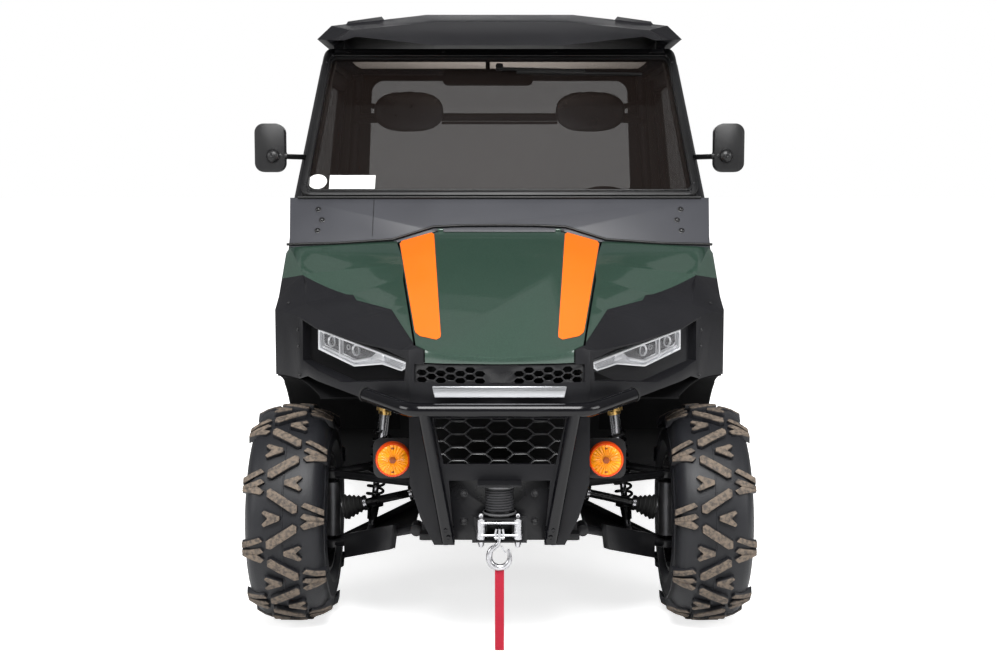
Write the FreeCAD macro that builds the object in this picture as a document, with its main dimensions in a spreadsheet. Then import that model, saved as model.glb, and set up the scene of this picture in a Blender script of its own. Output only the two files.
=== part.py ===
import FreeCAD, Part
import math
import os

import Sketcher
from FreeCAD import Placement, Rotation, Vector

# Side by side utility vehicle, in millimetres. The front faces -Y, +Z is up, X = 0 is the middle
# and the tyres stand on Z = 0. The driver sits at +X, which is the vehicle's left side.
# Pieces that come in pairs are modelled on the left and mirrored.

SIZES = {
    # Fits between pieces
    "running_fit": 0.05,
    "seat_fit": 0.3,
    "panel_gap": 6,
    # Wheels and axles
    "wheel_base": 2180,
    "front_axle_y": -1000,
    "tyre_dia": 660,
    "front_tyre_wide": 229,
    "rear_tyre_wide": 279,
    "front_wheel_x": 621,
    "rear_wheel_x": 615,
    "tyre_skin": 11,
    "sidewall_high": 48,
    "lug_high": 17,
    "lug_cycles": 10,
    "shoulder_drop": 9,
    "rim_dia": 356,
    "rim_wall": 5,
    "rim_lip": 6,
    "rim_offset": 30,
    "rim_hole_dia": 34,
    "rim_hole_ring": 264,
    "rim_holes": 8,
    "hub_dia": 80,
    "spindle_dia": 48,
    "spindle_cap_dia": 68,
    # Knuckles and wishbones
    "kingpin_x": 515,
    "kingpin_dia": 22,
    "kingpin_low": -112,
    "kingpin_high": 132,
    "upright_dia": 52,
    "eye_dia": 60,
    "arm_tube": 26,
    "arm_sleeve": 34,
    "arm_sleeve_long": 64,
    "arm_spread": 200,
    "upper_eye": 118,
    "upper_pivot": 130,
    "lower_eye": -98,
    "lower_pivot": -6,
    # Shocks and drive line
    "shock_low_x": 400,
    "shock_top_x": 345,
    "shock_y": 48,
    "shock_rod": 24,
    "spring_dia": 58,
    "spring_wire": 10,
    "drive_case_high": 110,
    "drive_case_deep": 180,
    "shaft_dia": 25,
    "boot_dia": 72,
    "engine_deep": 360,
    "engine_high": 345,
    # Frame
    "frame_low_z": 300,
    "rail_side": 50,
    "rail_x": 200,
    "rail_front_y": -1375,
    "rail_rear_y": 1420,
    "upper_rail_z": 700,
    "upper_rail_wide": 40,
    "upper_rail_deep": 30,
    "front_bay": 330,
    "nose_high": 15,
    "bed_carry": 580,
    "shock_bridge": 370,
    # Hitch
    "hitch_inner": 50.8,
    "hitch_wall": 6.35,
    "hitch_pin_dia": 16.2,
    "hitch_length": 150,
    "hitch_pin_back": 45,
    # Cab tub, cage and seats
    "tub_half": 600,
    "tub_front_y": -556,
    "tub_rear_y": 500,
    "tub_wall": 8,
    "sill_wide": 50,
    "sill_high": 70,
    "seat_box_y": -20,
    "seat_box_top": 775,
    "belt_z": 1120,
    "cage_tube": 50,
    "cage_bend": 60,
    "cage_top_z": 1797,
    "pillar_foot_x": 640,
    "pillar_bend_z": 900,
    "pillar_low_x": 662,
    "pillar_low_z": 1234,
    "pillar_low_y": -584,
    "pillar_top_x": 604,
    "pillar_top_y": -152,
    "post_top_x": 574,
    "post_low_x": 625,
    "post_y": 500,
    "head_bar_z": 1612,
    "head_bar_dia": 32,
    "seat_x": 365,
    "seat_wide": 470,
    "seat_thick": 110,
    "seat_front_y": -60,
    "seat_rear_y": 400,
    "seat_back_foot": 100,
    "seat_back_top": 1305,
    "seat_back_rear": 440,
    "seat_back_thick": 80,
    "headrest_wide": 292,
    "headrest_thick": 84,
    "headrest_low_z": 1545,
    "headrest_high": 171,
    "headrest_corner": 80,
    # Steering
    "steering_x": 376,
    "steering_y": -100,
    "steering_z": 1183,
    "steering_dia": 350,
    "steering_grip": 28,
    "steering_tilt": 35,
    "column_dia": 24,
    # Doors
    "door_wall": 30,
    "door_low_z": 440,
    "door_front_y": -524,
    "door_rear_y": 460,
    "door_bend_z": 1258,
    "door_top_z": 1764,
    "door_sill_x": 690,
    "door_belt_x": 716,
    "door_top_x": 636,
    "door_corner": 90,
    "window_margin": 55,
    "door_hinge_x": 708,
    "door_hinge_y": -532,
    "door_pin_dia": 8,
    "door_barrel_dia": 16,
    "door_barrel_long": 30,
    # Glass and roof
    "glass_thick": 5,
    "screen_rim": 26,
    "screen_thick": 24,
    "screen_low_y": -597,
    "screen_low_z": 1298,
    "screen_top_y": -212,
    "screen_top_z": 1800,
    "screen_low_x": 662,
    "screen_top_x": 618,
    "rear_panel_thick": 30,
    "roof_half": 636,
    "roof_edge_z": 1838,
    "roof_rib": 10,
    # Front body
    "skin": 5,
    "lid_low_z": 844,
    "lid_seam_rear": 331,
    "lid_seam_front": 229,
    "cowl_thick": 5,
    "cowl_low_z": 1133,
    "cowl_top_z": 1288,
    "hood_hinge_y": -683,
    "hood_hinge_z": 1184,
    "hood_pin_dia": 6,
    "arch_room": 90,
    "liner_skin": 5,
    "pocket_wall": 4,
    "lamp_deep": 46,
    "lamp_rim": 6,
    "grille_thick": 6,
    # Front guard and winch
    "fascia_y": -1452,
    "guard_tube": 40,
    "guard_post": 36,
    "guard_y": -1512,
    "spool_dia": 72,
    "flange_dia": 86,
    "roller_dia": 24,
    "mirror_x": 704,
    "mirror_y": -590,
    "mirror_arm_z": 1425,
    "turn_lamp_dia": 100,
    "turn_lamp_x": 302,
    "turn_lamp_y": -1330,
    "turn_lamp_z": 551,
    "hook_y": -1515,
    "strap_wide": 25,
    "strap_low_z": 62,
    # Rear body and load bed
    "fender_x": 688,
    "fender_skin": 12,
    "rear_arch_room": 55,
    "bed_front_y": 580,
    "bed_rear_y": 1530,
    "bed_floor_z": 800,
    "bed_top_z": 1110,
    "bed_half": 680,
    "bed_wall": 25,
    "bed_rib": 8,
    "bed_hinge_y": 1490,
    "bed_hinge_z": 785,
    "bed_pin_dia": 16,
    "gate_gap": 6,
    "gate_pin_dia": 10,
}

doc = FreeCAD.newDocument("side_by_side")
sheet = doc.addObject("Spreadsheet::Sheet", "sizes")
for row, (alias, number) in enumerate(SIZES.items(), 1):
    sheet.set("A%d" % row, alias.replace("_", " "))
    sheet.set("B%d" % row, str(number))
    sheet.setAlias("B%d" % row, alias)
doc.recompute()


def text_of(value):
    """The expression that gives a value: its cells, or a plain number."""
    return value.text if isinstance(value, Size) else "(%s)" % float(value)


def combined(first, sign, second, result):
    return Size(result, "(%s %s %s)" % (text_of(first), sign, text_of(second)))


class Size(float):
    """A number that remembers the cells it is worked out from."""

    def __new__(cls, number, text):
        made = super().__new__(cls, number)
        made.text = text
        return made

    def __add__(self, other):
        return combined(self, "+", other, float(self) + float(other))

    def __radd__(self, other):
        return combined(other, "+", self, float(other) + float(self))

    def __sub__(self, other):
        return combined(self, "-", other, float(self) - float(other))

    def __rsub__(self, other):
        return combined(other, "-", self, float(other) - float(self))

    def __mul__(self, other):
        return combined(self, "*", other, float(self) * float(other))

    def __rmul__(self, other):
        return combined(other, "*", self, float(other) * float(self))

    def __truediv__(self, other):
        return combined(self, "/", other, float(self) / float(other))

    def __neg__(self):
        return combined(0, "-", self, -float(self))

    def __abs__(self):
        return self if self >= 0 else -self


class Sheet:
    """Every cell of the sheet, by its alias."""

    def __init__(self):
        for alias in SIZES:
            setattr(self, alias, Size(float(sheet.get(alias)), "sizes." + alias))


size = Sheet()
AXLE_Z = size.tyre_dia / 2
REAR_AXLE_Y = size.front_axle_y + size.wheel_base
RAIL_TOP = size.frame_low_z + size.rail_side
ON_RAILS = RAIL_TOP + size.seat_fit
UPPER_TOP = size.upper_rail_z + size.upper_rail_deep
nodes = []


# Objects whose sizes and places are bound to the sheet

def bind(item, prop, value):
    item.setExpression(prop, text_of(value))


def place(item, x, y, z):
    for axis, value in zip("xyz", (x, y, z)):
        bind(item, "Placement.Base." + axis, value)
    return item


def box(name, low, high):
    """A straight block between two opposite corners."""
    item = doc.addObject("Part::Box", name)
    for prop, first, last in zip(("Length", "Width", "Height"), low, high):
        bind(item, prop, last - first)
    return place(item, *low)


def between(item, start, end):
    """Stand a round primitive on its start point and point it at its end."""
    along = Vector(*end) - Vector(*start)
    item.Placement = Placement(Vector(*start), Rotation(Vector(0, 0, 1), along))
    steps = [last - first for first, last in zip(start, end) if last != first]
    bind(item, "Height", abs(steps[0]) if len(steps) == 1 else along.Length)
    return place(item, *start)


def rod(name, start, end, radius):
    item = doc.addObject("Part::Cylinder", name)
    bind(item, "Radius", radius)
    return between(item, start, end)


def cone(name, start, end, first_radius, last_radius):
    item = doc.addObject("Part::Cone", name)
    bind(item, "Radius1", first_radius)
    bind(item, "Radius2", last_radius)
    return between(item, start, end)


def drawn(body, role, points, offset=0):
    """A closed outline of straight lines on one of a body's planes, each corner bound to the sheet."""
    sketch = body.newObject("Sketcher::SketchObject", "outline")
    sketch.AttachmentSupport = ([part for part in body.Origin.OriginFeatures if part.Role == role][0], [""])
    sketch.MapMode = "FlatFace"
    if offset:
        bind(sketch, "AttachmentOffset.Base.z", offset)
    corners = [Vector(u, v, 0) for u, v in points]
    for index, corner in enumerate(corners):
        sketch.addGeometry(Part.LineSegment(corners[index - 1], corner), False)
    for index, corner in enumerate(points):
        for kind, value in zip(("DistanceX", "DistanceY"), corner):
            number = sketch.addConstraint(Sketcher.Constraint(kind, -1, 1, index, 2, float(value)))
            if isinstance(value, Size):
                sketch.setExpression("Constraints[%d]" % number, value.text)
        sketch.addConstraint(Sketcher.Constraint("Coincident", index, 2, (index + 1) % len(points), 1))
    return sketch


def pad(name, role, low, high, points, corner=0):
    """An outline on a plane, padded from low to high along the plane's axis, with rounded corners."""
    body = doc.addObject("PartDesign::Body", name)
    solid = body.newObject("PartDesign::Pad", "pad")
    solid.Profile = drawn(body, role, points, -high if role == "XZ_Plane" else low)
    bind(solid, "Length", high - low)
    if corner:
        doc.recompute()
        axis = {"YZ_Plane": Vector(1, 0, 0), "XZ_Plane": Vector(0, 1, 0), "XY_Plane": Vector(0, 0, 1)}[role]
        depth = float(high - low)
        edges = ["Edge%d" % number for number, edge in enumerate(solid.Shape.Edges, 1)
                 if abs(abs((edge.Vertexes[-1].Point - edge.Vertexes[0].Point).dot(axis)) - depth) < 1e-6]
        fillet = body.newObject("PartDesign::Fillet", "corners")
        fillet.Base = (solid, edges)
        bind(fillet, "Radius", corner)
    return body


def turned(name, outlines):
    """Outlines of (x, radius) points, each turned round the X axis into one body."""
    body = doc.addObject("PartDesign::Body", name)
    for points in outlines:
        sketch = drawn(body, "XZ_Plane", points)
        solid = body.newObject("PartDesign::Revolution", "turned")
        solid.Profile = sketch
        solid.ReferenceAxis = (sketch, ["H_Axis"])
        solid.Angle = 360
    return body


def round_the_axle(body, features, count):
    """Repeat features of a turned body evenly round its X axis."""
    pattern = body.newObject("PartDesign::PolarPattern", "pattern")
    pattern.Originals = features
    pattern.Axis = ([part for part in body.Origin.OriginFeatures if part.Role == "X_Axis"][0], [""])
    pattern.Angle = 360
    bind(pattern, "Occurrences", count)
    body.Tip = pattern
    return pattern


def joined(name, pieces):
    item = doc.addObject("Part::MultiFuse", name)
    item.Shapes = pieces
    return item


def together(name, pieces):
    """Like pieces that don't touch, kept as one sub-part."""
    item = doc.addObject("Part::Compound", name)
    item.Links = pieces
    return item


def less(name, base, tools):
    item = doc.addObject("Part::Cut", name)
    item.Base = base
    item.Tool = tools[0] if len(tools) == 1 else joined(name + "_taken", tools)
    return item


def common(name, first, second):
    item = doc.addObject("Part::Common", name)
    item.Base = first
    item.Tool = second
    return item


def other(name, source):
    """The same piece on the other side of the vehicle."""
    item = doc.addObject("Part::Mirroring", name)
    item.Source = source
    item.Normal = (1, 0, 0)
    return item


def pair(name, left):
    return together(name, [left, other(name + "_right", left)])


def shaped(name, shape):
    """A curved skin or bent tube, whose shape is worked out below."""
    item = doc.addObject("Part::Feature", name)
    item.Shape = shape
    return item


def keep(*items):
    """Note finished sub-parts, each named as its file."""
    nodes.extend(items)
    return items[0]


# Plain shapes for curved skins and bent tubes

def wire(points):
    return Part.makePolygon([Vector(*point) for point in points] + [Vector(*points[0])])


def rounded_wire(points, radius):
    """A closed flat outline whose corners are arcs of one radius."""
    corners = [Vector(*point) for point in points]
    arcs = []
    for index, corner in enumerate(corners):
        before = (corners[index - 1] - corner).normalize()
        after = (corners[(index + 1) % len(corners)] - corner).normalize()
        half = before.getAngle(after) / 2
        middle = corner + (before + after).normalize() * (radius / math.sin(half) - radius)
        reach = radius / math.tan(half)
        arcs.append((corner + before * reach, middle, corner + after * reach))
    edges = []
    for index, (first, middle, last) in enumerate(arcs):
        edges.append(Part.Arc(first, middle, last).toShape())
        edges.append(Part.LineSegment(last, arcs[(index + 1) % len(arcs)][0]).toShape())
    return Part.Wire(edges)


def slab(outline, push):
    return Part.Face(outline).extrude(Vector(*push))


def loft(sections):
    return Part.makeLoft([wire(section) for section in sections], True, True)


def block(low, high):
    return Part.makeBox(high[0] - low[0], high[1] - low[1], high[2] - low[2], Vector(*low))


def bar(start, end, radius):
    along = Vector(*end) - Vector(*start)
    return Part.makeCylinder(radius, along.Length, Vector(*start), along)


def tube(points, radius, bend):
    """Straight runs joined by tangent arcs, swept by a round section."""
    corners = [Vector(*point) for point in points]
    edges = []
    here = corners[0]
    for before, corner, after in zip(corners, corners[1:], corners[2:]):
        back = (before - corner).normalize()
        ahead = (after - corner).normalize()
        half = back.getAngle(ahead) / 2
        reach = bend / math.tan(half)
        middle = corner + (back + ahead).normalize() * (bend / math.sin(half) - bend)
        edges.append(Part.LineSegment(here, corner + back * reach).toShape())
        edges.append(Part.Arc(corner + back * reach, middle, corner + ahead * reach).toShape())
        here = corner + ahead * reach
    edges.append(Part.LineSegment(here, corners[-1]).toShape())
    section = Part.Wire(Part.makeCircle(radius, corners[0], corners[1] - corners[0]))
    return Part.Wire(edges).makePipeShell([section], True, False)


def flip(shape):
    return shape.mirror(Vector(), Vector(1, 0, 0))


def both(shape):
    return Part.makeCompound([shape, flip(shape)])


# Wheels: moulded tyres with cleated treads, on pressed rims that run on the spindles

def cleats(body, turn, low, high, outlines):
    """Tread blocks that stand on the casing at one angle round the axle."""
    lift = Rotation(Vector(1, 0, 0), turn)
    made = []
    for points in outlines:
        sketch = drawn(body, "XY_Plane", points)
        sketch.AttachmentOffset = Placement(lift.multVec(Vector(0, 0, low)), lift)
        block_pad = body.newObject("PartDesign::Pad", "cleat")
        block_pad.Profile = sketch
        bind(block_pad, "Length", high - low)
        made.append(block_pad)
    return made


def tyre(name, wide, x, y):
    half = wide / 2
    bead = size.rim_dia / 2
    top = size.tyre_dia / 2
    carcass = top - size.lug_high
    seat, wall = half - 20, size.tyre_skin
    cheek = bead + size.sidewall_high
    crown = [(-seat, bead), (-half, cheek), (-half + 4, carcass - 40), (-half + 26, carcass - 6),
             (-half * 0.4, carcass)]
    hollow = [(-seat + wall, bead), (-half + wall, cheek), (-half + 30, carcass - wall - 10)]
    outside = crown + [(-u, r) for u, r in reversed(crown)]
    outline = outside + [(-u, r) for u, r in hollow] + list(reversed(hollow))
    body = turned(name, [outline])
    step = 360 / size.lug_cycles / 4
    root = carcass - wall
    long_bar = [(-0.36, -32), (-0.26, -35), (0.36, 12), (0.36, 28), (0.28, 33), (-0.36, -14)]
    fork = [(0.08, -4), (0.08, 5), (0.42, 19), (0.32, 0), (0.44, -20)]
    side_bar = [(0.52, 34), (0.6, 44), (1.0, 26), (1.0, 9)]
    side_fork = [(0.5, 2), (0.58, 12), (1.0, -2), (1.0, -20), (0.58, -32), (0.5, -22), (0.66, -9)]

    def outline_of(points, across, along):
        return [(half * u * across, v * along) for u, v in points]

    features = cleats(body, 0, root, top, [outline_of(long_bar, 1, 1)])
    features += cleats(body, step, root, top, [outline_of(fork, 1, 1)])
    features += cleats(body, 2 * step, root, top, [outline_of(long_bar, 1, -1)])
    features += cleats(body, 3 * step, root, top, [outline_of(fork, -1, 1)])
    low, high = carcass - 34, top - size.shoulder_drop
    features += cleats(body, step, low, high, [outline_of(side_bar, -1, 1), outline_of(side_fork, -1, 1)])
    features += cleats(body, 3 * step, low, high, [outline_of(side_bar, 1, 1), outline_of(side_fork, 1, 1)])
    round_the_axle(body, features, size.lug_cycles)
    return place(body, x, y, AXLE_Z)


def rim(name, wide, x, y):
    seat = wide / 2 - 20
    radius = size.rim_dia / 2 - size.seat_fit
    inside = radius - size.rim_wall
    face, web, edge = size.rim_offset, 8, 26
    bore = size.spindle_dia / 2 + size.running_fit
    lip = radius + size.rim_lip
    flange = [(seat + 3, radius), (seat + 3, lip), (seat + 8, lip), (seat + 8, inside)]
    barrel = flange + [(-u, r) for u, r in reversed(flange)]
    disc = [(face, bore), (face, 60), (face + edge, 105), (face + edge, inside + 1),
            (face + edge + web, inside + 1), (face + edge + web, 100), (face + web, 55), (face + web, bore)]
    hub = [(-30, bore), (-30, size.hub_dia / 2), (face + 30, size.hub_dia / 2), (face + 30, bore)]
    body = turned(name, [barrel, disc, hub])
    sketch = body.newObject("Sketcher::SketchObject", "hole")
    plane = [part for part in body.Origin.OriginFeatures if part.Role == "YZ_Plane"][0]
    sketch.AttachmentSupport = (plane, [""])
    sketch.MapMode = "FlatFace"
    bind(sketch, "AttachmentOffset.Base.z", face + 60)
    centre = Vector(size.rim_hole_ring / 2, 0, 0)
    sketch.addGeometry(Part.Circle(centre, Vector(0, 0, 1), size.rim_hole_dia / 2), False)
    sketch.addConstraint(Sketcher.Constraint("PointOnObject", 0, 3, -1))
    sketch.addConstraint(Sketcher.Constraint("DistanceX", -1, 1, 0, 3, size.rim_hole_ring / 2))
    sketch.setExpression("Constraints[1]", text_of(size.rim_hole_ring / 2))
    sketch.addConstraint(Sketcher.Constraint("Radius", 0, size.rim_hole_dia / 2))
    sketch.setExpression("Constraints[2]", text_of(size.rim_hole_dia / 2))
    hole = body.newObject("PartDesign::Pocket", "hole_cut")
    hole.Profile = sketch
    bind(hole, "Length", face + 50)
    round_the_axle(body, [hole], size.rim_holes)
    return place(body, x, y, AXLE_Z)


def make_wheels():
    axles = (("front", size.front_tyre_wide, size.front_wheel_x, size.front_axle_y),
             ("rear", size.rear_tyre_wide, size.rear_wheel_x, REAR_AXLE_Y))
    for end, wide, x, y in axles:
        for kind, made in (("tyre", tyre), ("rim", rim)):
            left = keep(made("%s_%s_left" % (kind, end), wide, x, y))
            keep(other("%s_%s_right" % (kind, end), left))


# Knuckles, wishbones, shocks and drive line

def upright(name, wheel_x, y):
    """Post with its kingpins, and the spindle that the wheel turns on."""
    x, z = size.kingpin_x, AXLE_Z
    room, tip, cap = 26, 62, 4
    low, high = z + size.lower_eye + room, z + size.upper_eye - room
    post = rod(name + "_post", (x, y, low), (x, y, high), size.upright_dia / 2)
    low, high = z + size.kingpin_low, z + size.kingpin_high
    pins = rod(name + "_pins", (x, y, low), (x, y, high), size.kingpin_dia / 2)
    spindle = rod(name + "_spindle", (x, y, z), (wheel_x + tip, y, z), size.spindle_dia / 2)
    nut = rod(name + "_cap", (wheel_x + tip - 1, y, z), (wheel_x + tip + cap, y, z), size.spindle_cap_dia / 2)
    return joined(name, [post, pins, spindle, nut])


def make_knuckles():
    left = keep(upright("knuckle_left", size.front_wheel_x, size.front_axle_y))
    keep(other("knuckle_right", left))
    keep(pair("rear_hubs", upright("rear_hub_left", size.rear_wheel_x, REAR_AXLE_Y)))


ARM_PIVOT_X = size.rail_x + size.rail_side / 2 + size.arm_sleeve / 2 + size.seat_fit
ARM_TIP_X = size.kingpin_x - 14
SHOCK_SHARE = (size.shock_low_x - ARM_PIVOT_X) / (ARM_TIP_X - ARM_PIVOT_X)
SHOCK_SEAT_Z = AXLE_Z + size.lower_pivot + SHOCK_SHARE * (size.lower_eye - size.lower_pivot)


def wishbone(name, axle_y, eye, pivot):
    """Two legs from the frame's sleeves to the eye that holds the kingpin."""
    x, tip, thick = size.kingpin_x, 14, 10
    eye_z, pivot_z = AXLE_Z + eye, AXLE_Z + pivot
    parts = [rod(name + "_eye", (x, axle_y, eye_z - thick), (x, axle_y, eye_z + thick), size.eye_dia / 2)]
    for end, where in ((-1, "_front"), (1, "_rear")):
        y = axle_y + end * size.arm_spread
        half, inner, outer = size.arm_sleeve_long / 2, ARM_PIVOT_X, ARM_TIP_X
        parts.append(rod(name + where + "_sleeve", (inner, y - half, pivot_z), (inner, y + half, pivot_z),
                         size.arm_sleeve / 2))
        parts.append(rod(name + where + "_leg", (inner, y, pivot_z), (outer, axle_y + end * tip, eye_z),
                         size.arm_tube / 2))
    if eye < 0:
        reach = size.arm_spread + SHOCK_SHARE * (tip - size.arm_spread)
        parts.append(rod(name + "_shock_pin", (size.shock_low_x, axle_y - reach, SHOCK_SEAT_Z),
                         (size.shock_low_x, axle_y + reach, SHOCK_SEAT_Z), 10))
        parts.append(arm_guard(name + "_guard", axle_y, pivot_z, eye_z))
    bore, through = size.kingpin_dia / 2 + size.running_fit, 4 * thick
    hole = rod(name + "_hole", (x, axle_y, eye_z - through), (x, axle_y, eye_z + through), bore)
    return less(name, joined(name + "_solid", parts), [hole])


def arm_guard(name, axle_y, pivot_z, eye_z):
    """Flat stone guard under the two legs of a lower arm."""
    plate, under, tip = 4, size.arm_tube / 2 - 1, 40
    near, far = ARM_PIVOT_X + 10, ARM_TIP_X - tip
    share = tip / (ARM_TIP_X - ARM_PIVOT_X)
    far_z = eye_z + share * (pivot_z - eye_z) - under
    half = tip / 2 + 8
    near_z = pivot_z - under
    outline = [(near, axle_y - size.arm_spread, near_z), (near, axle_y + size.arm_spread, near_z),
               (far, axle_y + half, far_z), (far, axle_y - half, far_z)]
    under_plate = slab(wire(outline), (0, 0, -plate))
    leg = Vector(ARM_TIP_X - ARM_PIVOT_X, size.arm_spread - tip / 2, 0)
    outwards = Vector(leg.y, -leg.x, 0).normalize()
    start = Vector(ARM_PIVOT_X, axle_y - size.arm_spread, pivot_z) + outwards * (size.arm_tube / 2 - 2)
    fall = (eye_z - pivot_z) / (ARM_TIP_X - ARM_PIVOT_X)
    above, below, reach, deep = 26, -46, 206, 26
    points = []
    for x, rise in ((reach - 156, above), (reach - 6, above), (reach, 10), (reach, below), (reach - 146, below)):
        points.append(start + leg * (x / leg.x) + Vector(0, 0, x * fall + rise))
    shield = Part.Face(wire(points)).extrude(outwards * deep)
    return shaped(name, Part.makeCompound([under_plate, shield]))


def coil_over(name, y):
    """Damper rod with its coil spring, drawn as ribs, between the arm and the bridge above."""
    top = Vector(size.shock_top_x, y, size.upper_rail_z - 2)
    low = Vector(size.shock_low_x, y, SHOCK_SEAT_Z + 12)
    start, end, coils = 30, (low - top).Length - 70, 6
    outside = size.spring_dia / 2
    core = outside - size.spring_wire / 2
    pitch = (end - start) / coils
    ribs = [(start, 0), (start, core)]
    for coil in range(coils):
        ribs += [(start + (coil + 0.3) * pitch, outside), (start + (coil + 0.6) * pitch, outside),
                 (start + (coil + 1) * pitch, core)]
    spring = turned(name + "_spring", [ribs + [(end, 0)]])
    spring.Placement = Placement(top, Rotation(Vector(1, 0, 0), low - top))
    return joined(name, [rod(name + "_rod", tuple(top), tuple(low), size.shock_rod / 2), spring])


def make_suspension():
    arms, shocks = [], []
    for end, y in (("front", size.front_axle_y), ("rear", REAR_AXLE_Y)):
        arms.append(wishbone(end + "_upper_arm", y, size.upper_eye, size.upper_pivot))
        arms.append(wishbone(end + "_lower_arm", y, size.lower_eye, size.lower_pivot))
        shocks.append(coil_over(end + "_shock", y + size.shock_y))
    keep(pair("suspension_arms", together("arms_left", arms)))
    keep(pair("shocks", together("shocks_left", shocks)))


def make_drive_line():
    cases, shafts = [], []
    high, half, bevel = size.drive_case_high, size.rail_x, 24
    slant, boot_long, drop = 7.6, 60, 50
    for end, y in (("front", size.front_axle_y), ("rear", REAR_AXLE_Y)):
        z = ON_RAILS + high
        outline = [(-half, ON_RAILS), (half, ON_RAILS), (half, z - bevel), (half - bevel, z), (bevel - half, z),
                   (-half, z - bevel)]
        deep = size.drive_case_deep / 2
        cases.append(pad(end + "_case", "XZ_Plane", y - deep, y + deep, outline))
        start = Vector(half + slant + size.seat_fit, y, ON_RAILS + drop)
        tip = Vector(size.kingpin_x - 35, y, AXLE_Z + 10)
        along = (tip - start).normalize()
        neck = size.shaft_dia / 2 + 7.5
        shafts.append(joined(end + "_shaft", [
            rod(end + "_bar", tuple(start), tuple(tip), size.shaft_dia / 2),
            cone(end + "_inner_boot", tuple(start), tuple(start + along * boot_long), size.boot_dia / 2, neck),
            cone(end + "_outer_boot", tuple(tip - along * boot_long), tuple(tip), neck, size.boot_dia / 2)]))
    keep(together("final_drives", cases))
    keep(pair("drive_shafts", together("shafts_left", shafts)))
    front = size.tub_rear_y + 90
    rear, top = front + size.engine_deep, ON_RAILS + size.engine_high
    keep(box("engine_block", (-half, front, ON_RAILS), (half, rear, top)))


# Frame

def make_frame():
    side, half = size.rail_side, size.rail_side / 2
    low, upper, thin = size.frame_low_z, size.upper_rail_z, size.upper_rail_wide / 2
    x, front, bay = size.rail_x, size.front_axle_y, size.front_bay
    hinge_y, hinge_z = size.bed_hinge_y, size.bed_hinge_z
    lap, ear, ear_wide, ear_top = 5, 21.5, 12, 13
    left = [box("rail", (x - half, size.rail_front_y, low), (x + half, size.rail_rear_y, RAIL_TOP)),
            box("front_rail", (x - thin, front - bay, upper), (x + thin, front + size.arm_spread, UPPER_TOP)),
            box("nose_post", (x - thin, front - bay, RAIL_TOP - lap),
                (x + thin, front - bay + 2 * thin, upper + lap)),
            box("bed_rail", (x - thin, REAR_AXLE_Y - size.bed_carry, upper),
                (x + thin, hinge_y - 20, UPPER_TOP)),
            box("hinge_foot", (x - thin, hinge_y - 40, upper), (x + ear + ear_wide, hinge_y - 25, upper + 20)),
            box("hinge_ear", (x + ear, hinge_y - 30, upper), (x + ear + ear_wide, hinge_y + ear_top, hinge_z)),
            rod("hinge_eye", (x + ear, hinge_y, hinge_z), (x + ear + ear_wide, hinge_y, hinge_z), ear_top)]
    for end, axle in (("front", front), ("rear", REAR_AXLE_Y)):
        for y in (axle - size.arm_spread, axle + size.arm_spread):
            left.append(box(end + "_post", (x - thin, y - thin, RAIL_TOP - lap), (x + thin, y + thin, upper)))
    left = joined("frame_left", left)
    across = [box("cross_member", (-x, y, low), (x, y + side, RAIL_TOP))
              for y in (size.rail_front_y, size.tub_front_y + 10, size.seat_box_y + 20,
                        size.tub_rear_y - side, size.rail_rear_y - side)]
    across += [box("shock_bridge", (-size.shock_bridge, y - 20, upper), (size.shock_bridge, y + 80, UPPER_TOP))
               for y in (front, REAR_AXLE_Y)]
    inner, start, z = size.hitch_inner / 2, size.rail_rear_y - lap, size.frame_low_z + half + 7
    outer, end = inner + size.hitch_wall, start + size.hitch_length
    pin_y = end - size.hitch_pin_back
    socket = box("hitch_tube", (-outer, start, z - outer), (outer, end, z + outer))
    bed_pin = size.bed_pin_dia / 2 + size.running_fit
    nose, under, sweep_end = size.rail_front_y - lap, low - lap, front - size.arm_spread - size.rail_side
    swept = [(nose, under), (nose, RAIL_TOP - size.nose_high), (sweep_end, low), (sweep_end, under)]
    taken = [box("hitch_hollow", (-inner, start + lap, z - inner), (inner, end + lap, z + inner)),
             rod("hitch_pin_hole", (-2 * outer, pin_y, z), (2 * outer, pin_y, z), size.hitch_pin_dia / 2),
             rod("hinge_bore", (-2 * x, hinge_y, hinge_z), (2 * x, hinge_y, hinge_z), bed_pin),
             pad("nose_sweep", "YZ_Plane", -2 * x, 2 * x, swept)]
    solid = joined("frame_solid", [left, other("frame_right", left), socket] + across)
    keep(less("frame", solid, taken))


# Cab

def make_tub():
    wall, half = size.tub_wall, size.tub_half
    front, rear, low, top = size.tub_front_y, size.tub_rear_y, ON_RAILS, size.seat_box_top
    inner = half - wall
    hollow = box("seat_box_hollow", (-inner, size.seat_box_y + wall, low + wall), (inner, rear - wall, top - wall))
    seat_box = less("seat_box", box("seat_box_outside", (-half, size.seat_box_y, low), (half, rear, top)), [hollow])
    sill = box("sill", (half - 1, front, low), (half + size.sill_wide, rear, low + size.sill_high))
    keep(joined("cab_tub", [box("floor", (-half, front, low), (half, rear, low + wall)),
                            box("fire_wall", (-half, front, low), (half, front + wall, size.belt_z)),
                            seat_box, sill, other("sill_right", sill)]))


DOOR_HINGE_Z = (560, 960)


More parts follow.
